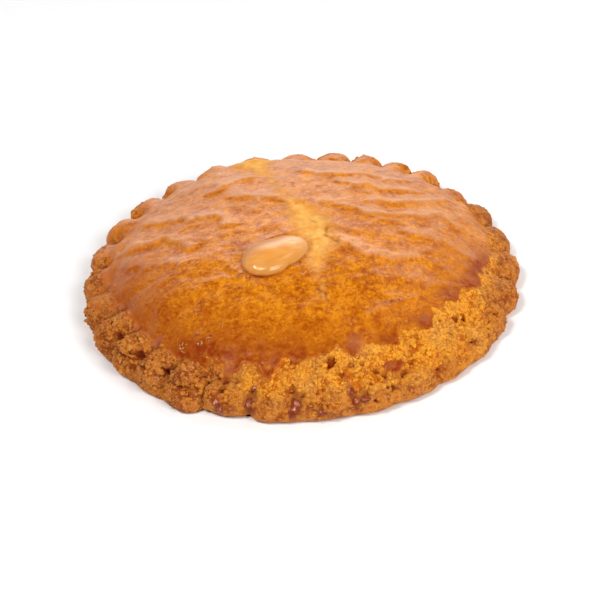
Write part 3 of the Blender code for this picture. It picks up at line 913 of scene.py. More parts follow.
def crust_fields(places, settings):
    """How far each place of the crust is moved outwards and sunk, and its finish."""
    skin = read_skin(places)
    lay_glaze(skin)
    wrinkle_skin(skin)
    crack_pale_band(skin)
    break_crumb(skin)
    cut_grooves(skin)
    stain_wall(skin)
    press_seat(skin)
    moved, sunk = skin_moves(skin, settings)

    # Painted sheen: raised glaze is drawn paler, part glaze worn thin and part sheen, most toward the
    # back and the right
    skin_height = 0.9 * skin.relief + 0.35 * skin.small + 0.25 * skin.fine
    rightward = 0.12 * np.abs(skin.x) + 0.53 * np.maximum(skin.x, 0.0)
    toward_back = smooth_steps(-14.0, 14.0, skin.y + rightward + 3.0 * skin.medium)
    rubbed = smooth_steps(0.0, 0.5, skin_height) * mix(0.10, 1.0, toward_back)
    # Painted light: high is raised where the crust stands out, and the crumb is drawn lighter there
    stand_out = mix(0.55 * skin.clumpy, skin_height, skin.glazed)
    finish = {
        "glazed": skin.glazed,
        "ridge": np.clip(skin.ridge, 0.0, 1.0),
        "pale": skin.pale,
        "pool": glaze_pools_and_contact_shade(skin),
        "browned": browning(skin),
        "cavity": cavity_shade(skin),
        "stain": skin.stain,
        "rubbed": rubbed * skin.glazed,
        "matt": toward_back * skin.glazed,
        "mauve": film_cover(skin),
        "high": np.clip(0.5 + stand_out, 0.0, 1.0),
    }
    return moved, sunk, finish


# ---- Materials ----


def set_inputs(tree, node, inputs):
    """Links each input that is given as a socket, and sets the others."""
    for name, value in inputs.items():
        if isinstance(value, bpy.types.NodeSocket):
            tree.links.new(value, node.inputs[name])
        else:
            node.inputs[name].default_value = value


def add_node(tree, kind, inputs=None, **options):
    """A node with its options and inputs set."""
    made = tree.nodes.new(kind)
    for name, value in options.items():
        setattr(made, name, value)
    set_inputs(tree, made, inputs or {})
    return made


def mixed(tree, factor, first, second, blend="MIX"):
    """Two colours mixed by a factor."""
    inputs = {0: factor, 6: first, 7: second}
    for socket in (6, 7):
        if not isinstance(inputs[socket], bpy.types.NodeSocket):
            inputs[socket] = (*inputs[socket], 1.0)
    made = add_node(tree, "ShaderNodeMix", inputs, data_type="RGBA", blend_type=blend)
    return made.outputs[2]


def calculated(tree, operation, values, clamp=False):
    """One step of arithmetic on numbers or sockets; clamped, it stays from 0 to 1."""
    inputs = dict(enumerate(values))
    made = add_node(tree, "ShaderNodeMath", inputs, operation=operation, use_clamp=clamp)
    return made.outputs[0]


def product(tree, first, second):
    """First times second."""
    return calculated(tree, "MULTIPLY", (first, second))


def less(tree, first, second):
    """First less second, from 0 to 1."""
    return calculated(tree, "SUBTRACT", (first, second), clamp=True)


def raised(tree, base, value, share):
    """The base with a share of the value added, from 0 to 1."""
    return calculated(tree, "MULTIPLY_ADD", (value, share, base), clamp=True)


def off_middle(tree, value):
    """How far a value is from 0.5, either way."""
    return calculated(tree, "ABSOLUTE", (calculated(tree, "SUBTRACT", (value, 0.5)),))


def ramped(tree, value, low, high):
    """0 below low and 1 above high, or the other way round where low is the higher."""
    made = add_node(
        tree, "ShaderNodeMapRange", {"Value": value, "From Min": low, "From Max": high}
    )
    return made.outputs["Result"]


def toned(tree, colour, toward, cover, share=1.0, blend="MIX"):
    """The colour drawn toward another by a share of the cover."""
    if share != 1.0:
        cover = product(tree, cover, share)
    return mixed(tree, cover, colour, toward, blend)


def speckle(tree, place, size, detail, roughness):
    """Noise whose features are about size millimetres across."""
    made = add_node(
        tree,
        "ShaderNodeTexNoise",
        {"Vector": place, "Scale": 1.0 / (size * MM), "Detail": detail, "Roughness": roughness},
    )
    return made.outputs["Fac"]


def pimpled(tree, place, size):
    """0 at the middle of small cells about size millimetres across, rising to their borders."""
    bent = add_node(tree, "ShaderNodeTexNoise", {"Vector": place, "Scale": 1.0 / (2.0 * size * MM)})
    offset = add_node(
        tree,
        "ShaderNodeVectorMath",
        {0: bent.outputs["Color"], 1: (size * MM, size * MM, size * MM), 2: place},
        operation="MULTIPLY_ADD",
    )
    made = add_node(
        tree,
        "ShaderNodeTexVoronoi",
        {"Vector": offset.outputs["Vector"], "Scale": 1.0 / (size * MM)},
    )
    return made.outputs["Distance"]


def bumped(tree, height, strength, depth):
    """The surface's direction, roughened by a height that counts for depth millimetres."""
    inputs = {"Strength": strength, "Distance": depth * MM, "Height": height}
    return add_node(tree, "ShaderNodeBump", inputs).outputs["Normal"]


def painted(tree, name):
    """A number stored on the mesh."""
    return add_node(tree, "ShaderNodeAttribute", attribute_name=name).outputs["Fac"]


def new_material(name):
    """A material with its nodes, its shader and the place on the object."""
    material = bpy.data.materials.new(name)
    material.use_nodes = True
    tree = material.node_tree
    place = add_node(tree, "ShaderNodeTexCoord").outputs["Object"]
    return material, tree, tree.nodes["Principled BSDF"], place


def glaze_colour(tree, looks, settings):
    """Amber glaze: thin and deep patches, wrinkles worn thin under painted sheen, flecks, dots, dark
    pools and painted contact shade round the almond.
    """
    dapple, granules = looks.dapple, looks.granules
    depth = raised(tree, product(tree, looks.mottle, 0.32), dapple, 0.54)
    depth = ramped(tree, raised(tree, depth, granules, 0.14), 0.395, 0.605)
    colour = mixed(tree, depth, settings.glaze_light, settings.glaze_deep)
    # Painted sheen with glaze worn thin: raised wrinkles drawn paler, most toward the back and the
    # right
    rubbed_sheen_cover = product(tree, looks.rubbed, ramped(tree, dapple, 0.30, 0.60))
    colour = toned(tree, colour, settings.ridge_wear_and_sheen_colour, rubbed_sheen_cover, share=0.55)
    # Painted highlight along the crests of the listed wrinkles, where the glaze is also worn thin
    crest_sheen_cover = ramped(tree, looks.ridge, 0.45, 0.85)
    colour = toned(tree, colour, settings.ridge_wear_and_sheen_colour, crest_sheen_cover, share=0.55)
    flecks = ramped(tree, speckle(tree, looks.place, FLECK_SIZE, 2.0, 0.6), 0.52, 0.68)
    colour = toned(tree, colour, settings.fleck_colour, flecks, share=0.50)
    paleness = product(tree, looks.pale, ramped(tree, dapple, 0.20, 0.62))
    colour = toned(tree, colour, settings.pale_colour, paleness)
    calm = raised(tree, product(tree, looks.pale, 0.45), looks.matt, 0.30)
    dots = product(tree, ramped(tree, granules, 0.53, 0.68), less(tree, 0.62, calm))
    colour = toned(tree, colour, settings.dot_colour, dots)
    # Thick dark glaze, and the painted contact shade round the almond
    pooled = raised(tree, 0.50, ramped(tree, dapple, 0.60, 0.42), 0.45)
    colour = toned(tree, colour, settings.pool_and_shade_colour, product(tree, looks.pool, pooled))
    thin = raised(tree, 0.2, ramped(tree, dapple, 0.40, 0.62), 0.7)
    thin = product(tree, product(tree, looks.browned, thin), less(tree, 1.0, looks.pool))
    return toned(tree, colour, settings.toast_colour, thin)


def crumb_colour(tree, looks, settings):
    """Bare crumb: lumps drawn lighter and hollows darker, part random tone and part painted light and
    shade, with toasted places, dark specks, painted shade in fine cracks and painted glints.
    """
    place, browned, dapple, mottle = looks.place, looks.browned, looks.dapple, looks.mottle
    # Painted light and shade mixed with random tone: lighter on raised crumb, darker in its hollows
    relief = product(tree, ramped(tree, looks.granules, 0.34, 0.66), 0.48)
    relief = raised(tree, relief, looks.high, 0.50)
    relief = raised(tree, relief, ramped(tree, dapple, 0.36, 0.64), 0.58)
    relief = ramped(tree, relief, 0.54, 0.93)
    colour = mixed(tree, relief, settings.crumb_low, settings.crumb_colour)
    golden = ramped(tree, mottle, 0.48, 0.62)
    colour = toned(tree, colour, settings.pale_colour, golden, share=0.37)
    toasted = raised(tree, product(tree, browned, 0.78), ramped(tree, dapple, 0.38, 0.62), 0.7)
    colour = toned(tree, colour, settings.toast_colour, less(tree, toasted, 0.30))
    # Painted shade: browned crumb drawn darker where it lies low
    shade = product(tree, browned, less(tree, 1.0, relief))
    colour = toned(tree, colour, settings.painted_shade_colour, shade, share=0.60, blend="MULTIPLY")
    speck = ramped(tree, looks.grain, 0.60, 0.72)
    colour = toned(tree, colour, settings.toast_colour, speck, share=0.35)
    # Painted shade: thin dark lines drawn as fine cracks, which the mesh does not have
    crease = off_middle(tree, speckle(tree, place, CREASE_SIZE, 3.0, 0.65))
    crease = product(tree, ramped(tree, crease, 0.045, 0.004), ramped(tree, mottle, 0.44, 0.58))
    colour = toned(tree, colour, settings.crack_shade_colour, crease, share=0.50)
    # Painted highlight: pale glints on the crumb, most where it is browned
    glints = ramped(tree, speckle(tree, place, GLINT_SIZE, 3.0, 0.7), 0.56, 0.66)
    glints = product(tree, glints, raised(tree, 0.12, browned, 0.74))
    return toned(tree, colour, settings.painted_glint_colour, glints)


def crust_roughness(tree, looks, bare):
    """Glossy on the glaze and dry on the crumb."""
    gloss = less(tree, looks.glazed, looks.pale)
    roughness = raised(tree, 0.84, gloss, -0.60)
    roughness = raised(tree, roughness, less(tree, looks.grain, 0.5), 0.25)
    for field, share in ROUGHNESS_SHARES:
        roughness = raised(tree, roughness, getattr(looks, field), share)
    return raised(tree, roughness, product(tree, looks.browned, bare), -0.22)


def crust_bump(tree, looks, bare):
    """Fine roughness that the mesh is too coarse for, strongest on the crumb."""
    crumbs = speckle(tree, looks.place, CRUMB_GRAIN_SIZE, 4.0, 0.75)
    coarse = raised(tree, raised(tree, 0.10, looks.matt, 0.12), bare, 0.75)
    pimples = pimpled(tree, looks.place, PIMPLE_SIZE)
    height = raised(tree, product(tree, crumbs, coarse), pimples, 0.06)
    return bumped(tree, height, 0.9, 0.55)


def crust_material(settings):
    """Egg glaze over baked short crust, and bare crumb where the glaze is missing."""
    material, tree, shader, place = new_material("baked_crust")
    looks = SimpleNamespace(place=place)
    for field in CRUST_FIELDS:
        setattr(looks, field, painted(tree, field))
    for texture, *sizes in CRUST_TEXTURES:
        setattr(looks, texture, speckle(tree, place, *sizes))
    bare = less(tree, 1.0, looks.glazed)
    crumb = crumb_colour(tree, looks, settings)
    colour = mixed(tree, looks.glazed, crumb, glaze_colour(tree, looks, settings))
    colour = toned(tree, colour, settings.mauve_colour, looks.mauve, share=0.8)
    # Painted shade multiplied into pits, holes, cracks, grooves and under the knobs
    colour = toned(tree, colour, settings.painted_shade_colour, looks.cavity, blend="MULTIPLY")
    colour = toned(tree, colour, settings.stain_colour, looks.stain, share=0.7)
    inputs = {
        "Base Color": colour,
        "Roughness": crust_roughness(tree, looks, bare),
        "Normal": crust_bump(tree, looks, bare),
        "IOR": 1.45,
        "Specular IOR Level": 0.45,
        "Specular Tint": (*settings.sheen_tint, 1.0),
    }
    set_inputs(tree, shader, inputs)
    return material


def drip_material(settings):
    """Dark glossy drips of caramelised filling, with a painted highlight, stored as film, on the lit
    side.
    """
    material, tree, shader, place = new_material("drip")
    cloud = ramped(tree, speckle(tree, place, 0.9, 2.0, 0.5), 0.40, 0.75)
    colour = mixed(tree, cloud, settings.drip_colour, settings.stain_colour)
    inputs = {
        "Base Color": toned(tree, colour, settings.drip_highlight_colour, painted(tree, "film")),
        "Roughness": 0.24,
        "IOR": 1.5,
        "Specular Tint": (1.0, 0.52, 0.36, 1.0),
    }
    set_inputs(tree, shader, inputs)
    return material


def bubble_material(settings):
    """Bubbles of egg wash: dark red with pale patches, which are painted glints."""
    material, tree, shader, place = new_material("egg_bubble")
    cloud = ramped(tree, speckle(tree, place, 0.5, 2.0, 0.5), 0.44, 0.60)
    inputs = {
        "Base Color": mixed(tree, cloud, settings.pool_and_shade_colour, settings.painted_glint_colour),
        "Roughness": 0.36,
        "IOR": 1.45,
        "Specular Tint": (1.0, 0.74, 0.50, 1.0),
    }
    set_inputs(tree, shader, inputs)
    return material


def almond_material(settings):
    """Blanched almond, lightly toasted, with faint lengthwise streaks; its far side and lower near
    edge are drawn darker as painted shade.
    """
    material, tree, shader, place = new_material("almond")
    far = painted(tree, "far")
    turn = (0.0, 0.0, -math.radians(ALMOND_AZIMUTH))
    drawn_out = {"Vector": place, "Rotation": turn, "Scale": STREAK_SCALE}
    along = add_node(tree, "ShaderNodeMapping", drawn_out).outputs["Vector"]
    streak = speckle(tree, along, 1.1, 3.0, 0.6)
    blotch = ramped(tree, speckle(tree, place, 4.0, 2.0, 0.5), 0.4, 0.7)
    colour = mixed(tree, ramped(tree, streak, 0.35, 0.70), settings.skin, settings.streak)
    colour = toned(tree, colour, settings.toast, blotch, share=0.5)
    # Painted shade: the lower near edge drawn darker and more yellow
    colour = toned(tree, colour, settings.edge, painted(tree, "low"))
    roughness = raised(tree, 0.19, streak, 0.10)
    # Painted shade: the far side drawn darker, and rougher
    inputs = {
        "Base Color": toned(tree, colour, settings.far_side_shade, far),
        "Roughness": raised(tree, roughness, far, 0.42),
        "Normal": bumped(tree, streak, 0.15, 0.3),
        "IOR": 1.55,
        "Specular Tint": (1.0, 0.90, 0.74, 1.0),
        "Subsurface Weight": 0.15,
        "Subsurface Radius": (1.0, 0.5, 0.2),
        "Subsurface Scale": 2.0 * MM,
    }
    set_inputs(tree, shader, inputs)
    return material


# ---- Pieces ----


def add_object(name, data):
    """An object with this data, linked to the scene."""
    made = bpy.data.objects.new(name, data)
    bpy.context.scene.collection.objects.link(made)
    return made


def add_piece(name, data, material):
    """A piece with this mesh, shaded smooth."""
    data.shade_smooth()
    data.materials.append(material)
    return add_object(name, data)


def piece_from(mesh, name, material):
    """A piece with the bmesh's shape."""
    data = bpy.data.meshes.new(name)
    mesh.to_mesh(data)
    mesh.free()
    return add_piece(name, data, material)


def store(data, name, values):
    """Keeps one number for each vertex on the mesh."""
    layer = data.attributes.new(name, "FLOAT", "POINT")
    layer.data.foreach_set("value", np.asarray(values, dtype=np.float32))


def skin_at(crust):
    """The crust's vertices in metres, their directions outward and their azimuths."""
    vertices, normals = crust.data.vertices, crust.data.vertex_normals
    sites, leans = np.empty(len(vertices) * 3), np.empty(len(vertices) * 3)
    vertices.foreach_get("co", sites)
    normals.foreach_get("vector", leans)
    sites = sites.reshape(-1, 3)
    azimuth = np.degrees(np.arctan2(sites[:, 1], sites[:, 0])) % 360.0
    return sites, leans.reshape(-1, 3), azimuth


def lying_on(site, outward):
    """The place of a bead on the skin, with its own Z pointing outward."""
    turn = Vector(outward).to_track_quat("Z", "Y").to_matrix().to_4x4()
    return Matrix.Translation(Vector(site)) @ turn


def disc_place(across, up):
    """(phase, share of the radius) of a place on a square bent to a disc."""
    reach = max(abs(across), abs(up))
    if reach < 1e-9:
        return 0.0, 0.0
    if abs(across) >= abs(up):
        turn = 45.0 * up / across + (0.0 if across > 0.0 else 180.0)
    else:
        turn = 90.0 - 45.0 * across / up + (0.0 if up > 0.0 else 180.0)
    return turn % 360.0, reach


def extruded(mesh, edges):
    """The open edges and the corners of a new row of faces along these edges."""
    made = bmesh.ops.extrude_edge_only(mesh, edges=edges)["geom"]
    corners = [item for item in made if isinstance(item, bmesh.types.BMVert)]
    made = [item for item in made if isinstance(item, bmesh.types.BMEdge)]
    return [item for item in made if item.is_boundary], corners


def crust_mesh():
    """A grid for the top with rows extruded from its edge for the rim, and each vertex's place."""
    mesh = bmesh.new()
    bmesh.ops.create_grid(mesh, x_segments=TOP_SEGMENTS, y_segments=TOP_SEGMENTS, size=1.0)
    spots = {}
    for vertex in mesh.verts:
        phase, share = disc_place(vertex.co.x, vertex.co.y)
        spots[vertex] = (phase, share * TOP_PATH)
    edges = [item for item in mesh.edges if item.is_boundary]
    for row in range(1, RIM_ROWS + 1):
        path = TOP_PATH + (FOOT_PATH - TOP_PATH) * row / RIM_ROWS
        edges, corners = extruded(mesh, edges)
        for vertex in corners:
            phase, _ = disc_place(vertex.co.x, vertex.co.y)
            spots[vertex] = (phase, path)
    return mesh, spots, edges


def close_underside(mesh, edges):
    """Closes the crust below the foot: a chamfer, then flat rows toward the middle."""
    edges, corners = extruded(mesh, edges)
    drawn_in = 1.0 - FOOT_CHAMFER / FOOT_RADIUS
    for vertex in corners:
        vertex.co = (vertex.co.x * drawn_in, vertex.co.y * drawn_in, 0.0)
    for base_radius in BASE_RADII:
        edges, corners = extruded(mesh, edges)
        for vertex in corners:
            vertex.co = vertex.co.normalized() * base_radius * MM
    bmesh.ops.holes_fill(mesh, edges=[item for item in mesh.edges if item.is_boundary])
    bmesh.ops.triangulate(mesh, faces=[face for face in mesh.faces if len(face.verts) > 4])
    bmesh.ops.recalc_face_normals(mesh, faces=mesh.faces)


def make_crust(settings):
    """The crust: the solid's form with wrinkles, crumb, pits and grooves modelled on it."""
    mesh, spots, foot = crust_mesh()
    vertices = list(mesh.verts)
    places = []
    for vertex in vertices:
        phase, path = spots[vertex]
        places.append((*crust_place(phase, path), path))
    places = np.array(places)
    moved, sunk, finish = crust_fields(places, settings)
    radius, height, azimuth, lean = places.T[:4]
    above_foot = smooth_steps(FOOT_PATH, FOOT_PATH - FOOT_CALM_RUN, places[:, 6])
    radius = radius + moved * np.sin(lean) * mix(FOOT_RELIEF_SHARE, 1.0, above_foot)
    height = np.maximum(height + moved * np.cos(lean) - sunk, FOOT_HEIGHT)
    turn = np.radians(azimuth)
    for index, vertex in enumerate(vertices):
        vertex.co = (
            MM * radius[index] * math.cos(turn[index]),
            MM * radius[index] * math.sin(turn[index]),
            MM * height[index],
        )
    close_underside(mesh, foot)
    made = piece_from(mesh, "crust", crust_material(settings))
    spare = len(made.data.vertices) - len(vertices)
    for name, values in finish.items():
        below = UNDERSIDE_BROWNING if name == "browned" else 0.0
        store(made.data, name, np.concatenate((values, np.full(spare, below))))
    return made


def lump_shape(fine):
    """A round lump of unit radius, as an array of corners and one of faces."""
    mesh = bmesh.new()
    if fine:
        bmesh.ops.create_icosphere(mesh, subdivisions=1, radius=1.0)
    else:
        bmesh.ops.create_cube(mesh, size=1.0)
        bmesh.ops.subdivide_edges(mesh, edges=mesh.edges, cuts=1, use_grid_fill=True)
        for vertex in mesh.verts:
            vertex.co = vertex.co.normalized()
    mesh.verts.index_update()
    corners = np.array([tuple(vertex.co) for vertex in mesh.verts])
    faces = np.array([[corner.index for corner in face.verts] for face in mesh.faces])
    mesh.free()
    return corners, faces


def turned_any_way(draws, count):
    """Random rotation matrices, one for each crumb."""
    quaternions = draws.normal(size=(count, 4))
    quaternions /= np.linalg.norm(quaternions, axis=1, keepdims=True)
    return np.array([Quaternion(item).to_matrix() for item in quaternions])


def crumb_shares(sites, azimuth, finish, fine):
    """How likely a crumb is at each vertex: most on the bare front and left, few at the back."""
    front = sectors(azimuth, *CRUMBLY_FRONT)
    left = sectors(azimuth, *CRUMBLY_LEFT)
    back = sectors(azimuth, *SMOOTH_BACK)
    upper = 0.12 + 0.88 * smooth_steps(3.5, 6.5, sites[:, 2] / MM)
    share = mix((0.35 + 0.9 * left) * (1.0 - 0.85 * back), upper, front)
    if fine:
        share = np.sqrt(share)
    share *= 1.0 - 0.55 * side_lobes(azimuth)
    share *= (1.0 - finish["glazed"]) * (1.0 - finish["cavity"]) * (finish["stain"] < 0.3)
    radius = np.hypot(sites[:, 0], sites[:, 1]) / MM
    share *= (radius > TOP_PATH) & (sites[:, 2] > CRUMB_FLOOR * MM)
    return share / share.sum()


def make_crumbs(crust, name, fine, count, size):
    """Crumbs of dough that stand out of the bare crust, each a small closed lump."""
    draws = np.random.default_rng(CRUMB_SEED + fine)
    sites, normals, azimuth = skin_at(crust)
    finish = {}
    for field in ("glazed", "browned", "cavity", "stain", "high"):
        finish[field] = np.empty(len(sites), dtype=np.float32)
        crust.data.attributes[field].data.foreach_get("value", finish[field])
    shares = crumb_shares(sites, azimuth, finish, fine)
    chosen = draws.choice(len(sites), size=count, replace=False, p=shares)

    corners, faces = lump_shape(fine)
    sizes = size * (0.5 + 1.2 * draws.random(count) ** 2.5)
    squash = draws.uniform(*CRUMB_SQUASH, size=(count, 1, 3))
    uneven = draws.uniform(-CRUMB_UNEVENNESS, CRUMB_UNEVENNESS, size=(count, len(corners), 1))
    lumps = corners[None] * squash * (1.0 + uneven) * sizes[:, None, None]
    lumps = np.einsum("nij,nkj->nki", turned_any_way(draws, count), lumps)
    outward = np.einsum("nki,ni->nk", lumps, normals[chosen]) / sizes[:, None]
    sunk = sizes * draws.uniform(*CRUMB_SUNK, count)
    lumps += (sites[chosen] - normals[chosen] * sunk[:, None])[:, None]

    data = bpy.data.meshes.new(name)
    starts = (np.arange(count) * len(corners))[:, None, None]
    all_faces = (faces[None] + starts).reshape(-1, faces.shape[1])
    data.from_pydata(lumps.reshape(-1, 3).tolist(), [], all_faces.tolist())
    made = add_piece(name, data, crust.data.materials[0])
    # Painted light and shade on each crumb: lighter on its outward side and where the crust stands
    # out, over a random tone, and darker on its inward side
    tone_and_painted_light = 0.10 + 0.25 * draws.random((count, 1)) + 0.4 * outward
    tone_and_painted_light = tone_and_painted_light + 0.55 * finish["high"][chosen][:, None]
    browned = finish["browned"][chosen][:, None] + 0.25 * (draws.random((count, 1)) - 0.5)
    browned = np.broadcast_to(browned, outward.shape)
    for field, values in (("high", tone_and_painted_light), ("cavity", 0.15 - outward), ("browned", browned)):
        store(data, field, np.clip(values, 0.0, 1.0).ravel())
    return made


def make_drips(crust, settings):
    """Glossy beads of filling that ran down the front wall."""
    sites, leans, azimuth = skin_at(crust)
    inner = np.hypot(sites[:, 0], sites[:, 1]) <= CREASE_RADIUS * MM
    mesh = bmesh.new()
    for drip_azimuth, drip_height, half_width, half_length in DRIPS:
        off_run = np.radians(azimuth - drip_azimuth) * TIP_RADIUS * MM
        off = np.hypot(off_run, sites[:, 2] - drip_height * MM) + inner
        outward = Vector(np.mean(leans[off < MM], axis=0)).normalized()
        width, length = DRIP_SPREAD * half_width * MM, DRIP_SPREAD * half_length * MM
        size = Matrix.Diagonal((width, length, DRIP_THICKNESS * MM, 1.0))
        place = lying_on(sites[int(np.argmin(off))], outward) @ size
        made = bmesh.ops.create_uvsphere(mesh, u_segments=24, v_segments=14, radius=1.0)["verts"]
        for vertex in made:
            unevenness = noise.noise(vertex.co * 1.3 + Vector((drip_azimuth, 0.0, 0.0)))
            vertex.co *= 1.0 + DRIP_UNEVENNESS * unevenness
        bmesh.ops.transform(mesh, matrix=place, verts=made)
    mesh.normal_update()
    # Painted highlight: the film value is high where a drip faces the light
    film = []
    for vertex in mesh.verts:
        patch = noise.noise(vertex.co / (DRIP_HIGHLIGHT_PATCH_SIZE * MM))
        lit = vertex.normal.dot(DRIP_LIT_FROM) + 0.6 * patch
        film.append(DRIP_HIGHLIGHT_STRENGTH * smooth_step(0.95, 1.20, lit))
    made = piece_from(mesh, "drips", drip_material(settings))
    store(made.data, "film", film)
    return made


def make_bubbles(crust, settings):
    """Small bubbles that stand out of the glaze and catch the light."""
    sites, leans, _ = skin_at(crust)
    draws = random.Random(BUBBLE_SEED)
    mesh = bmesh.new()
    for centre_x, centre_y, spread, count in BUBBLES:
        for _ in range(count):
            x = (centre_x + draws.gauss(0.0, spread)) * MM
            y = (centre_y + draws.gauss(0.0, 0.7 * spread)) * MM
            nearest = int(np.argmin(np.hypot(sites[:, 0] - x, sites[:, 1] - y) - sites[:, 2]))
            radius = draws.uniform(*BUBBLE_RADII) * MM
            spin = Matrix.Rotation(draws.uniform(*BUBBLE_SPIN), 4, "Z")
            length = radius * draws.uniform(*BUBBLE_STRETCH)
            size = Matrix.Diagonal((length, radius, BUBBLE_FLATNESS * radius, 1.0))
            place = lying_on(sites[nearest], leans[nearest]) @ spin @ size
            made = bmesh.ops.create_icosphere(mesh, subdivisions=2, radius=1.0)["verts"]
            bmesh.ops.transform(mesh, matrix=place, verts=made)
    return piece_from(mesh, "egg_bubbles", bubble_material(settings))


def almond_place(corner, settings):
    """Where a corner of the unit ball goes on the almond, before it is laid on the cookie."""
    along, across, up = min(max(corner.x, -1.0), 1.0), corner.y, corner.z
    furrow_depth, dent_depth = settings.furrow_depth / MM, settings.dent_depth / MM
    girth = math.sqrt(max(1.0 - along**2, 1e-9))
    blunt = (1.0 - abs(along) ** ALMOND_BLUNTNESS) ** (1.0 / ALMOND_BLUNTNESS)
    breadth = blunt / girth * (1.0 - ALMOND_TAPER * along)
    furrow = furrow_depth * noise.noise(Vector((along * 2.0, across * 9.0, up * 4.0))) * girth
    dent_spot = Vector((along * 1.6, across * 1.6, up)) + CRAG_PLACE
    dent = dent_depth * noise.noise(dent_spot) * girth
    facet_along, facet_across, along_sharpness, across_sharpness = FACET
    off_facet = math.hypot(
        along_sharpness * (along - facet_along), across_sharpness * (across - facet_across)
    )
    facet = FACET_SHARE * dent_depth * math.exp(-(off_facet**2))
    swelling = (dent - furrow - facet) / (ALMOND_THICKNESS / 2.0)
    return (
        MM * ALMOND_LENGTH / 2.0 * along,
        MM * ALMOND_WIDTH / 2.0 * breadth * across * (1.0 + swelling * SIDEWAYS_SWELLING),
        MM * ALMOND_THICKNESS / 2.0 * breadth * up * (1.0 + swelling),
    )


def make_almond(settings):
    """The almond: fat at one end, with faint lengthwise furrows and a flat facet."""
    mesh = bmesh.new()
    bmesh.ops.create_uvsphere(
        mesh, u_segments=ALMOND_SEGMENTS, v_segments=ALMOND_RINGS, radius=1.0
    )
    bmesh.ops.rotate(mesh, verts=mesh.verts, matrix=Matrix.Rotation(QUARTER_TURN, 3, "Y"))
    shaded_far_values, shaded_low_values = [], []
    for vertex in mesh.verts:
        # Painted shade: marks the far side and the lower near edge to be drawn darker
        across, up = vertex.co.y, vertex.co.z
        shaded_far_values.append(FAR_SIDE_SHADE_STRENGTH * smooth_step(*SHADED_FAR_SIDE, across))
        shaded_low_values.append(smooth_step(*NEAR_SIDE, across) * smooth_step(*LOW_SIDE, up))
        vertex.co = almond_place(vertex.co, settings)
    tilt = Matrix.Rotation(math.radians(ALMOND_TILT), 4, "Y")
    turn = Matrix.Rotation(math.radians(ALMOND_AZIMUTH), 4, "Z")
    place = Matrix.Translation(MM * Vector(ALMOND_CENTRE)) @ turn @ tilt
    bmesh.ops.transform(mesh, matrix=place, verts=mesh.verts)
    bmesh.ops.recalc_face_normals(mesh, faces=mesh.faces)
    made = piece_from(mesh, "pressed_almond", almond_material(settings))
    store(made.data, "far", shaded_far_values)
    store(made.data, "low", shaded_low_values)
    return made


# ---- Stage ----


def add_light(name, width, power, place):
    """A round soft light, turned to the middle of the stage."""
    data = bpy.data.lights.new(name, "AREA")
    data.shape = "DISK"
    data.size = width
    data.energy = power
    light = add_object(name, data)
    light.location = place
    light.rotation_mode = "QUATERNION"
    aim = Vector(STAGE_MIDDLE) - Vector(place)
    light.rotation_quaternion = aim.to_track_quat("-Z", "Y")


def add_camera(settings):
    """A camera at the photograph's viewing angle."""
    data = bpy.data.cameras.new("camera")
    data.lens = settings.lens
    data.sensor_width = SENSOR_WIDTH
    data.clip_start = 0.01
    camera = add_object("camera", data)
    elevation, roll = settings.elevation, settings.roll
    back = Vector((0.0, -math.cos(elevation), math.sin(elevation)))
    aim = Vector((settings.aim_x, settings.aim_y, 0.0))
    right = (-back).cross(Vector((0.0, 0.0, 1.0))).normalized()
    up = right.cross(-back)
    across = right * math.cos(roll) - up * math.sin(roll)
    upright = right * math.sin(roll) + up * math.cos(roll)
    turn = Matrix((across, upright, back)).transposed().to_4x4()
    camera.matrix_world = Matrix.Translation(aim + back * settings.distance) @ turn
    bpy.context.scene.camera = camera


def make_floor(settings):
    """A plain matt floor."""
    mesh = bmesh.new()
    bmesh.ops.create_grid(mesh, x_segments=1, y_segments=1, size=settings.floor_size / 2.0)
    material, tree, shader, _ = new_material("floor")
    inputs = {
        "Base Color": (*settings.floor_colour, 1.0),
        "Roughness": 0.9,
        "Specular IOR Level": 0.0,
    }
    set_inputs(tree, shader, inputs)
    piece_from(mesh, "floor", material)


def light_world(settings):
    """A white studio: bright walls all round, and a dark ceiling."""
    world = bpy.data.worlds.new("studio")
    bpy.context.scene.world = world
    world.use_nodes = True
    tree = world.node_tree
    direction = add_node(tree, "ShaderNodeTexCoord").outputs["Generated"]
    slant = settings.wall_slant
    rise = add_node(
        tree,
        "ShaderNodeVectorMath",
        {0: direction, 1: (0.0, -slant, 1.0)},
        operation="DOT_PRODUCT",
    ).outputs["Value"]
    low, high = settings.wall_top, settings.ceiling_edge
    strength = add_node(
        tree,
        "ShaderNodeMapRange",
        {
            "Value": rise,
            "From Min": math.sin(low) - slant * math.cos(low),
            "From Max": math.sin(high) - slant * math.cos(high),
            "To Min": settings.wall_strength,
            "To Max": settings.ceiling_strength,
        },
        interpolation_type="SMOOTHSTEP",
    ).outputs["Result"]
    background = tree.nodes["Background"]
    background.inputs["Color"].default_value = (1.0, 1.0, 1.0, 1.0)
    tree.links.new(strength, background.inputs["Strength"])


# ---- Settings, operators and panel ----


def colour_property(name, description, default):
    """A colour that the user can change."""
    return FloatVectorProperty(
        name=name,
        description=description,
        default=default,
        subtype="COLOR",
        size=3,
        min=0.0,
        max=1.0,
    )


def length_property(name, description, default):
    """A length that the user can change, in metres."""
    return FloatProperty(
        name=name, description=description, default=default, unit="LENGTH", precision=5
    )


def angle_property(name, description, degrees):
    """An angle that the user can change."""
    return FloatProperty(
        name=name, description=description, default=math.radians(degrees), subtype="ANGLE"
    )


def number_property(name, description, default, unit="NONE"):
    """A strength, a share or a power that the user can change."""
    return FloatProperty(name=name, description=description, default=default, unit=unit)


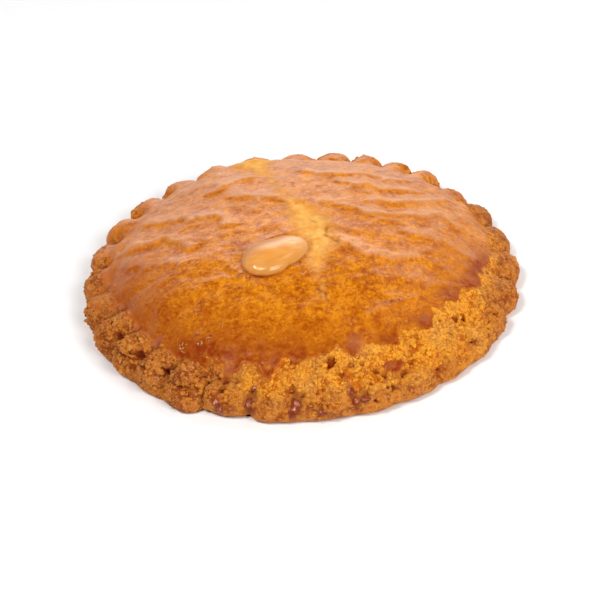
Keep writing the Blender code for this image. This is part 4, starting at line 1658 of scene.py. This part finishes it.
class CookieCrustSettings(bpy.types.PropertyGroup):
    wrinkle_height: length_property(
        "Wrinkle height", "How far the wrinkles of the glazed skin stand up", 0.70 * MM
    )
    crumb_height: length_property(
        "Crumb height", "How far the lumps of bare crumb stand out", 0.55 * MM
    )
    pit_depth: length_property("Pit depth", "Depth of the pits in the bare crumb", 0.8 * MM)
    crumb_size: length_property("Crumb size", "Radius of a common crumb", 0.64 * MM)
    fine_crumb_size: length_property("Fine crumb size", "Radius of a fine crumb", 0.28 * MM)
    glaze_light: colour_property(
        "Glaze, thin", "Egg glaze where it is thin", (0.74, 0.242, 0.008)
    )
    glaze_deep: colour_property(
        "Glaze, deep", "Egg glaze where it is deep", (0.37, 0.066, 0.001)
    )
    fleck_colour: colour_property("Flecks", "Light flecks in the glaze", (0.88, 0.34, 0.015))
    dot_colour: colour_property("Dots", "Dark dots in the glaze", (0.26, 0.045, 0.002))
    sheen_tint: colour_property(
        "Tint of the gloss", "Colour of head-on reflections", (1.0, 0.60, 0.28)
    )
    # Painted sheen, and glaze worn thin on the wrinkles
    ridge_wear_and_sheen_colour: colour_property(
        "Wrinkles", "Glaze rubbed thin on the wrinkles", (0.68, 0.295, 0.122)
    )
    pale_colour: colour_property(
        "Pale crust", "Cracked band without glaze", (0.90, 0.475, 0.115)
    )
    # Thick glaze in the crease, and painted contact shade round the almond
    pool_and_shade_colour: colour_property(
        "Pooled glaze", "Thick glaze in the crease", (0.24, 0.019, 0.0004)
    )
    # Painted highlight: the pale patches of the bubbles and the glints on the crumb
    painted_glint_colour: colour_property(
        "Bubbles", "Pale dried bubbles of egg wash", (0.66, 0.30, 0.11)
    )
    mauve_colour: colour_property(
        "Thin film", "Glaze drawn thin over the knobs and tongues", (0.38, 0.110, 0.048)
    )
    # Painted highlight on the drips
    drip_highlight_colour: colour_property("Drip film", "Dried film on the drips", (0.66, 0.27, 0.18))
    crumb_colour: colour_property("Crumb", "Bare crumb at the front", (0.97, 0.43, 0.034))
    # Crumb between the lumps, darker partly as painted shade
    crumb_low: colour_property(
        "Crumb, low", "Bare crumb between the lumps", (0.54, 0.118, 0.003)
    )
    # Painted shade of fine cracks in the crumb
    crack_shade_colour: colour_property("Creases", "Fine cracks in the crumb", (0.20, 0.036, 0.004))
    toast_colour: colour_property("Toasted crumb", "Browned crumb", (0.45, 0.112, 0.022))
    # Painted shade for pits, grooves and the crumb's hollows
    painted_shade_colour: colour_property("Pits", "Darkening of pits and grooves", (0.34, 0.11, 0.04))
    stain_colour: colour_property("Stains", "Crumb stained by the drips", (0.26, 0.055, 0.012))
    drip_colour: colour_property("Drips", "Dark drips of filling", (0.19, 0.026, 0.007))


class CookieAlmondSettings(bpy.types.PropertyGroup):
    furrow_depth: length_property("Furrow depth", "Depth of the lengthwise furrows", 0.07 * MM)
    dent_depth: length_property("Dent depth", "Depth of the broad dents", 0.30 * MM)
    skin: colour_property("Almond", "Blanched almond", (0.80, 0.375, 0.095))
    streak: colour_property("Streaks", "Lengthwise streaks", (0.70, 0.265, 0.050))
    toast: colour_property("Toast", "Lightly toasted blotches", (0.74, 0.265, 0.032))
    # Painted shade on the side away from the front
    far_side_shade: colour_property("Far side", "Side away from the front", (0.50, 0.155, 0.024))
    # Painted shade on the lower near edge
    edge: colour_property("Edge", "Yellow lower edge", (0.62, 0.265, 0.050))


class CookieStageSettings(bpy.types.PropertyGroup):
    floor_size: length_property("Floor size", "Width of the floor", 4.0)
    floor_colour: colour_property("Floor", "Plain pale floor", (0.95, 0.95, 0.95))
    wall_strength: number_property("Wall brightness", "White walls of the studio", 1.0)
    wall_slant: number_property(
        "Slant of the walls",
        "How much higher the bright wall is at the back than at the front",
        0.6,
    )
    ceiling_strength: number_property("Ceiling brightness", "Dark ceiling of the studio", 0.03)
    wall_top: angle_property(
        "Top of the walls", "Elevation up to which the back wall is bright", 36.0
    )
    ceiling_edge: angle_property(
        "Edge of the ceiling", "Elevation from which it is dark above the back wall", 58.0
    )
    back_power: number_property("Back wall light", "Broad low light behind", 5.0, "POWER")
    key_power: number_property("Key lights", "Two soft lights above the front", 5.7, "POWER")
    spark_power: number_property("Spark light", "Small light above the right", 0.35, "POWER")
    lens: number_property("Lens", "Focal length of the camera in millimetres", 135.0)
    distance: length_property("Camera distance", "From the aim to the camera", 0.5401)
    aim_x: length_property("Aim across", "Where the camera looks, across", -0.00079)
    aim_y: length_property("Aim in depth", "Where the camera looks, in depth", -0.00407)
    elevation: angle_property("Camera elevation", "Angle of the camera above the horizon", 36.1)
    roll: angle_property("Camera roll", "Turn of the camera round its axis", 4.13)


def finished_crust():
    """The crust, which has to be made before what lies on it."""
    crust = bpy.data.objects.get("crust")
    if crust is None:
        raise RuntimeError("the crust has to be made first")
    return crust


class COOKIE_OT_crust(bpy.types.Operator):
    """Make the baked crust in place of the plain cookie"""

    bl_idname = "cookie.crust"
    bl_label = "Baked crust"

    def execute(self, context):
        crust = make_crust(context.scene.cookie_crust)
        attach(crust, "root")
        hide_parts("cookie")
        return {"FINISHED"}


class COOKIE_OT_crumbs(bpy.types.Operator):
    """Stand small crumbs on the bare places of the crust"""

    bl_idname = "cookie.crumbs"
    bl_label = "Crumbs"

    def execute(self, context):
        crust = finished_crust()
        settings = context.scene.cookie_crust
        for name, fine, count in CRUMB_KINDS:
            size = settings.fine_crumb_size if fine else settings.crumb_size
            crumbs = make_crumbs(crust, name, fine, count, size)
            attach(crumbs, "root")
        return {"FINISHED"}


class COOKIE_OT_drips(bpy.types.Operator):
    """Add the glossy drips on the wall and the bubbles in the glaze"""

    bl_idname = "cookie.drips"
    bl_label = "Drips and bubbles"

    def execute(self, context):
        crust = finished_crust()
        settings = context.scene.cookie_crust
        for made in (make_drips(crust, settings), make_bubbles(crust, settings)):
            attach(made, "root")
        return {"FINISHED"}


class COOKIE_OT_almond(bpy.types.Operator):
    """Make the pressed-in almond in place of the plain one"""

    bl_idname = "cookie.almond"
    bl_label = "Pressed almond"

    def execute(self, context):
        almond = make_almond(context.scene.cookie_almond)
        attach(almond, "root")
        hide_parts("almond")
        return {"FINISHED"}


class COOKIE_OT_stage(bpy.types.Operator):
    """Make the floor, the lights and the camera"""

    bl_idname = "cookie.stage"
    bl_label = "Stage"

    def execute(self, context):
        settings = context.scene.cookie_stage
        make_floor(settings)
        light_world(settings)
        for name, width, setting, share, place in LIGHTS:
            add_light(name, width, share * getattr(settings, setting), place)
        add_camera(settings)
        context.scene.view_settings.view_transform = "Standard"
        return {"FINISHED"}


class COOKIE_PT_panel(bpy.types.Panel):
    """Lists the cookie's settings and what makes its pieces"""

    bl_idname = "COOKIE_PT_panel"
    bl_label = "Filled almond cookie"
    bl_space_type = "VIEW_3D"
    bl_region_type = "UI"
    bl_category = "Cookie"

    def draw(self, context):
        groups = (
            (context.scene.cookie_crust, ("cookie.crust", "cookie.crumbs", "cookie.drips")),
            (context.scene.cookie_almond, ("cookie.almond",)),
            (context.scene.cookie_stage, ("cookie.stage",)),
        )
        for settings, operators in groups:
            box = self.layout.box()
            for name in settings.bl_rna.properties.keys():
                if name not in ("rna_type", "name"):
                    box.prop(settings, name)
            for operator in operators:
                box.operator(operator)


CLASSES = (
    CookieCrustSettings,
    CookieAlmondSettings,
    CookieStageSettings,
    COOKIE_OT_crust,
    COOKIE_OT_crumbs,
    COOKIE_OT_drips,
    COOKIE_OT_almond,
    COOKIE_OT_stage,
    COOKIE_PT_panel,
)


def register():
    """Adds the settings, the operators and the panel."""
    for made in CLASSES:
        bpy.utils.register_class(made)
    bpy.types.Scene.cookie_crust = PointerProperty(type=CookieCrustSettings)
    bpy.types.Scene.cookie_almond = PointerProperty(type=CookieAlmondSettings)
    bpy.types.Scene.cookie_stage = PointerProperty(type=CookieStageSettings)


def unregister():
    """Takes them away again."""
    del bpy.types.Scene.cookie_stage
    del bpy.types.Scene.cookie_almond
    del bpy.types.Scene.cookie_crust
    for made in reversed(CLASSES):
        bpy.utils.unregister_class(made)


def main():
    """Makes every piece and the stage."""
    register()
    bpy.ops.cookie.crust()
    bpy.ops.cookie.crumbs()
    bpy.ops.cookie.drips()
    bpy.ops.cookie.almond()
    bpy.ops.cookie.stage()


if __name__ == "__main__":
    main()
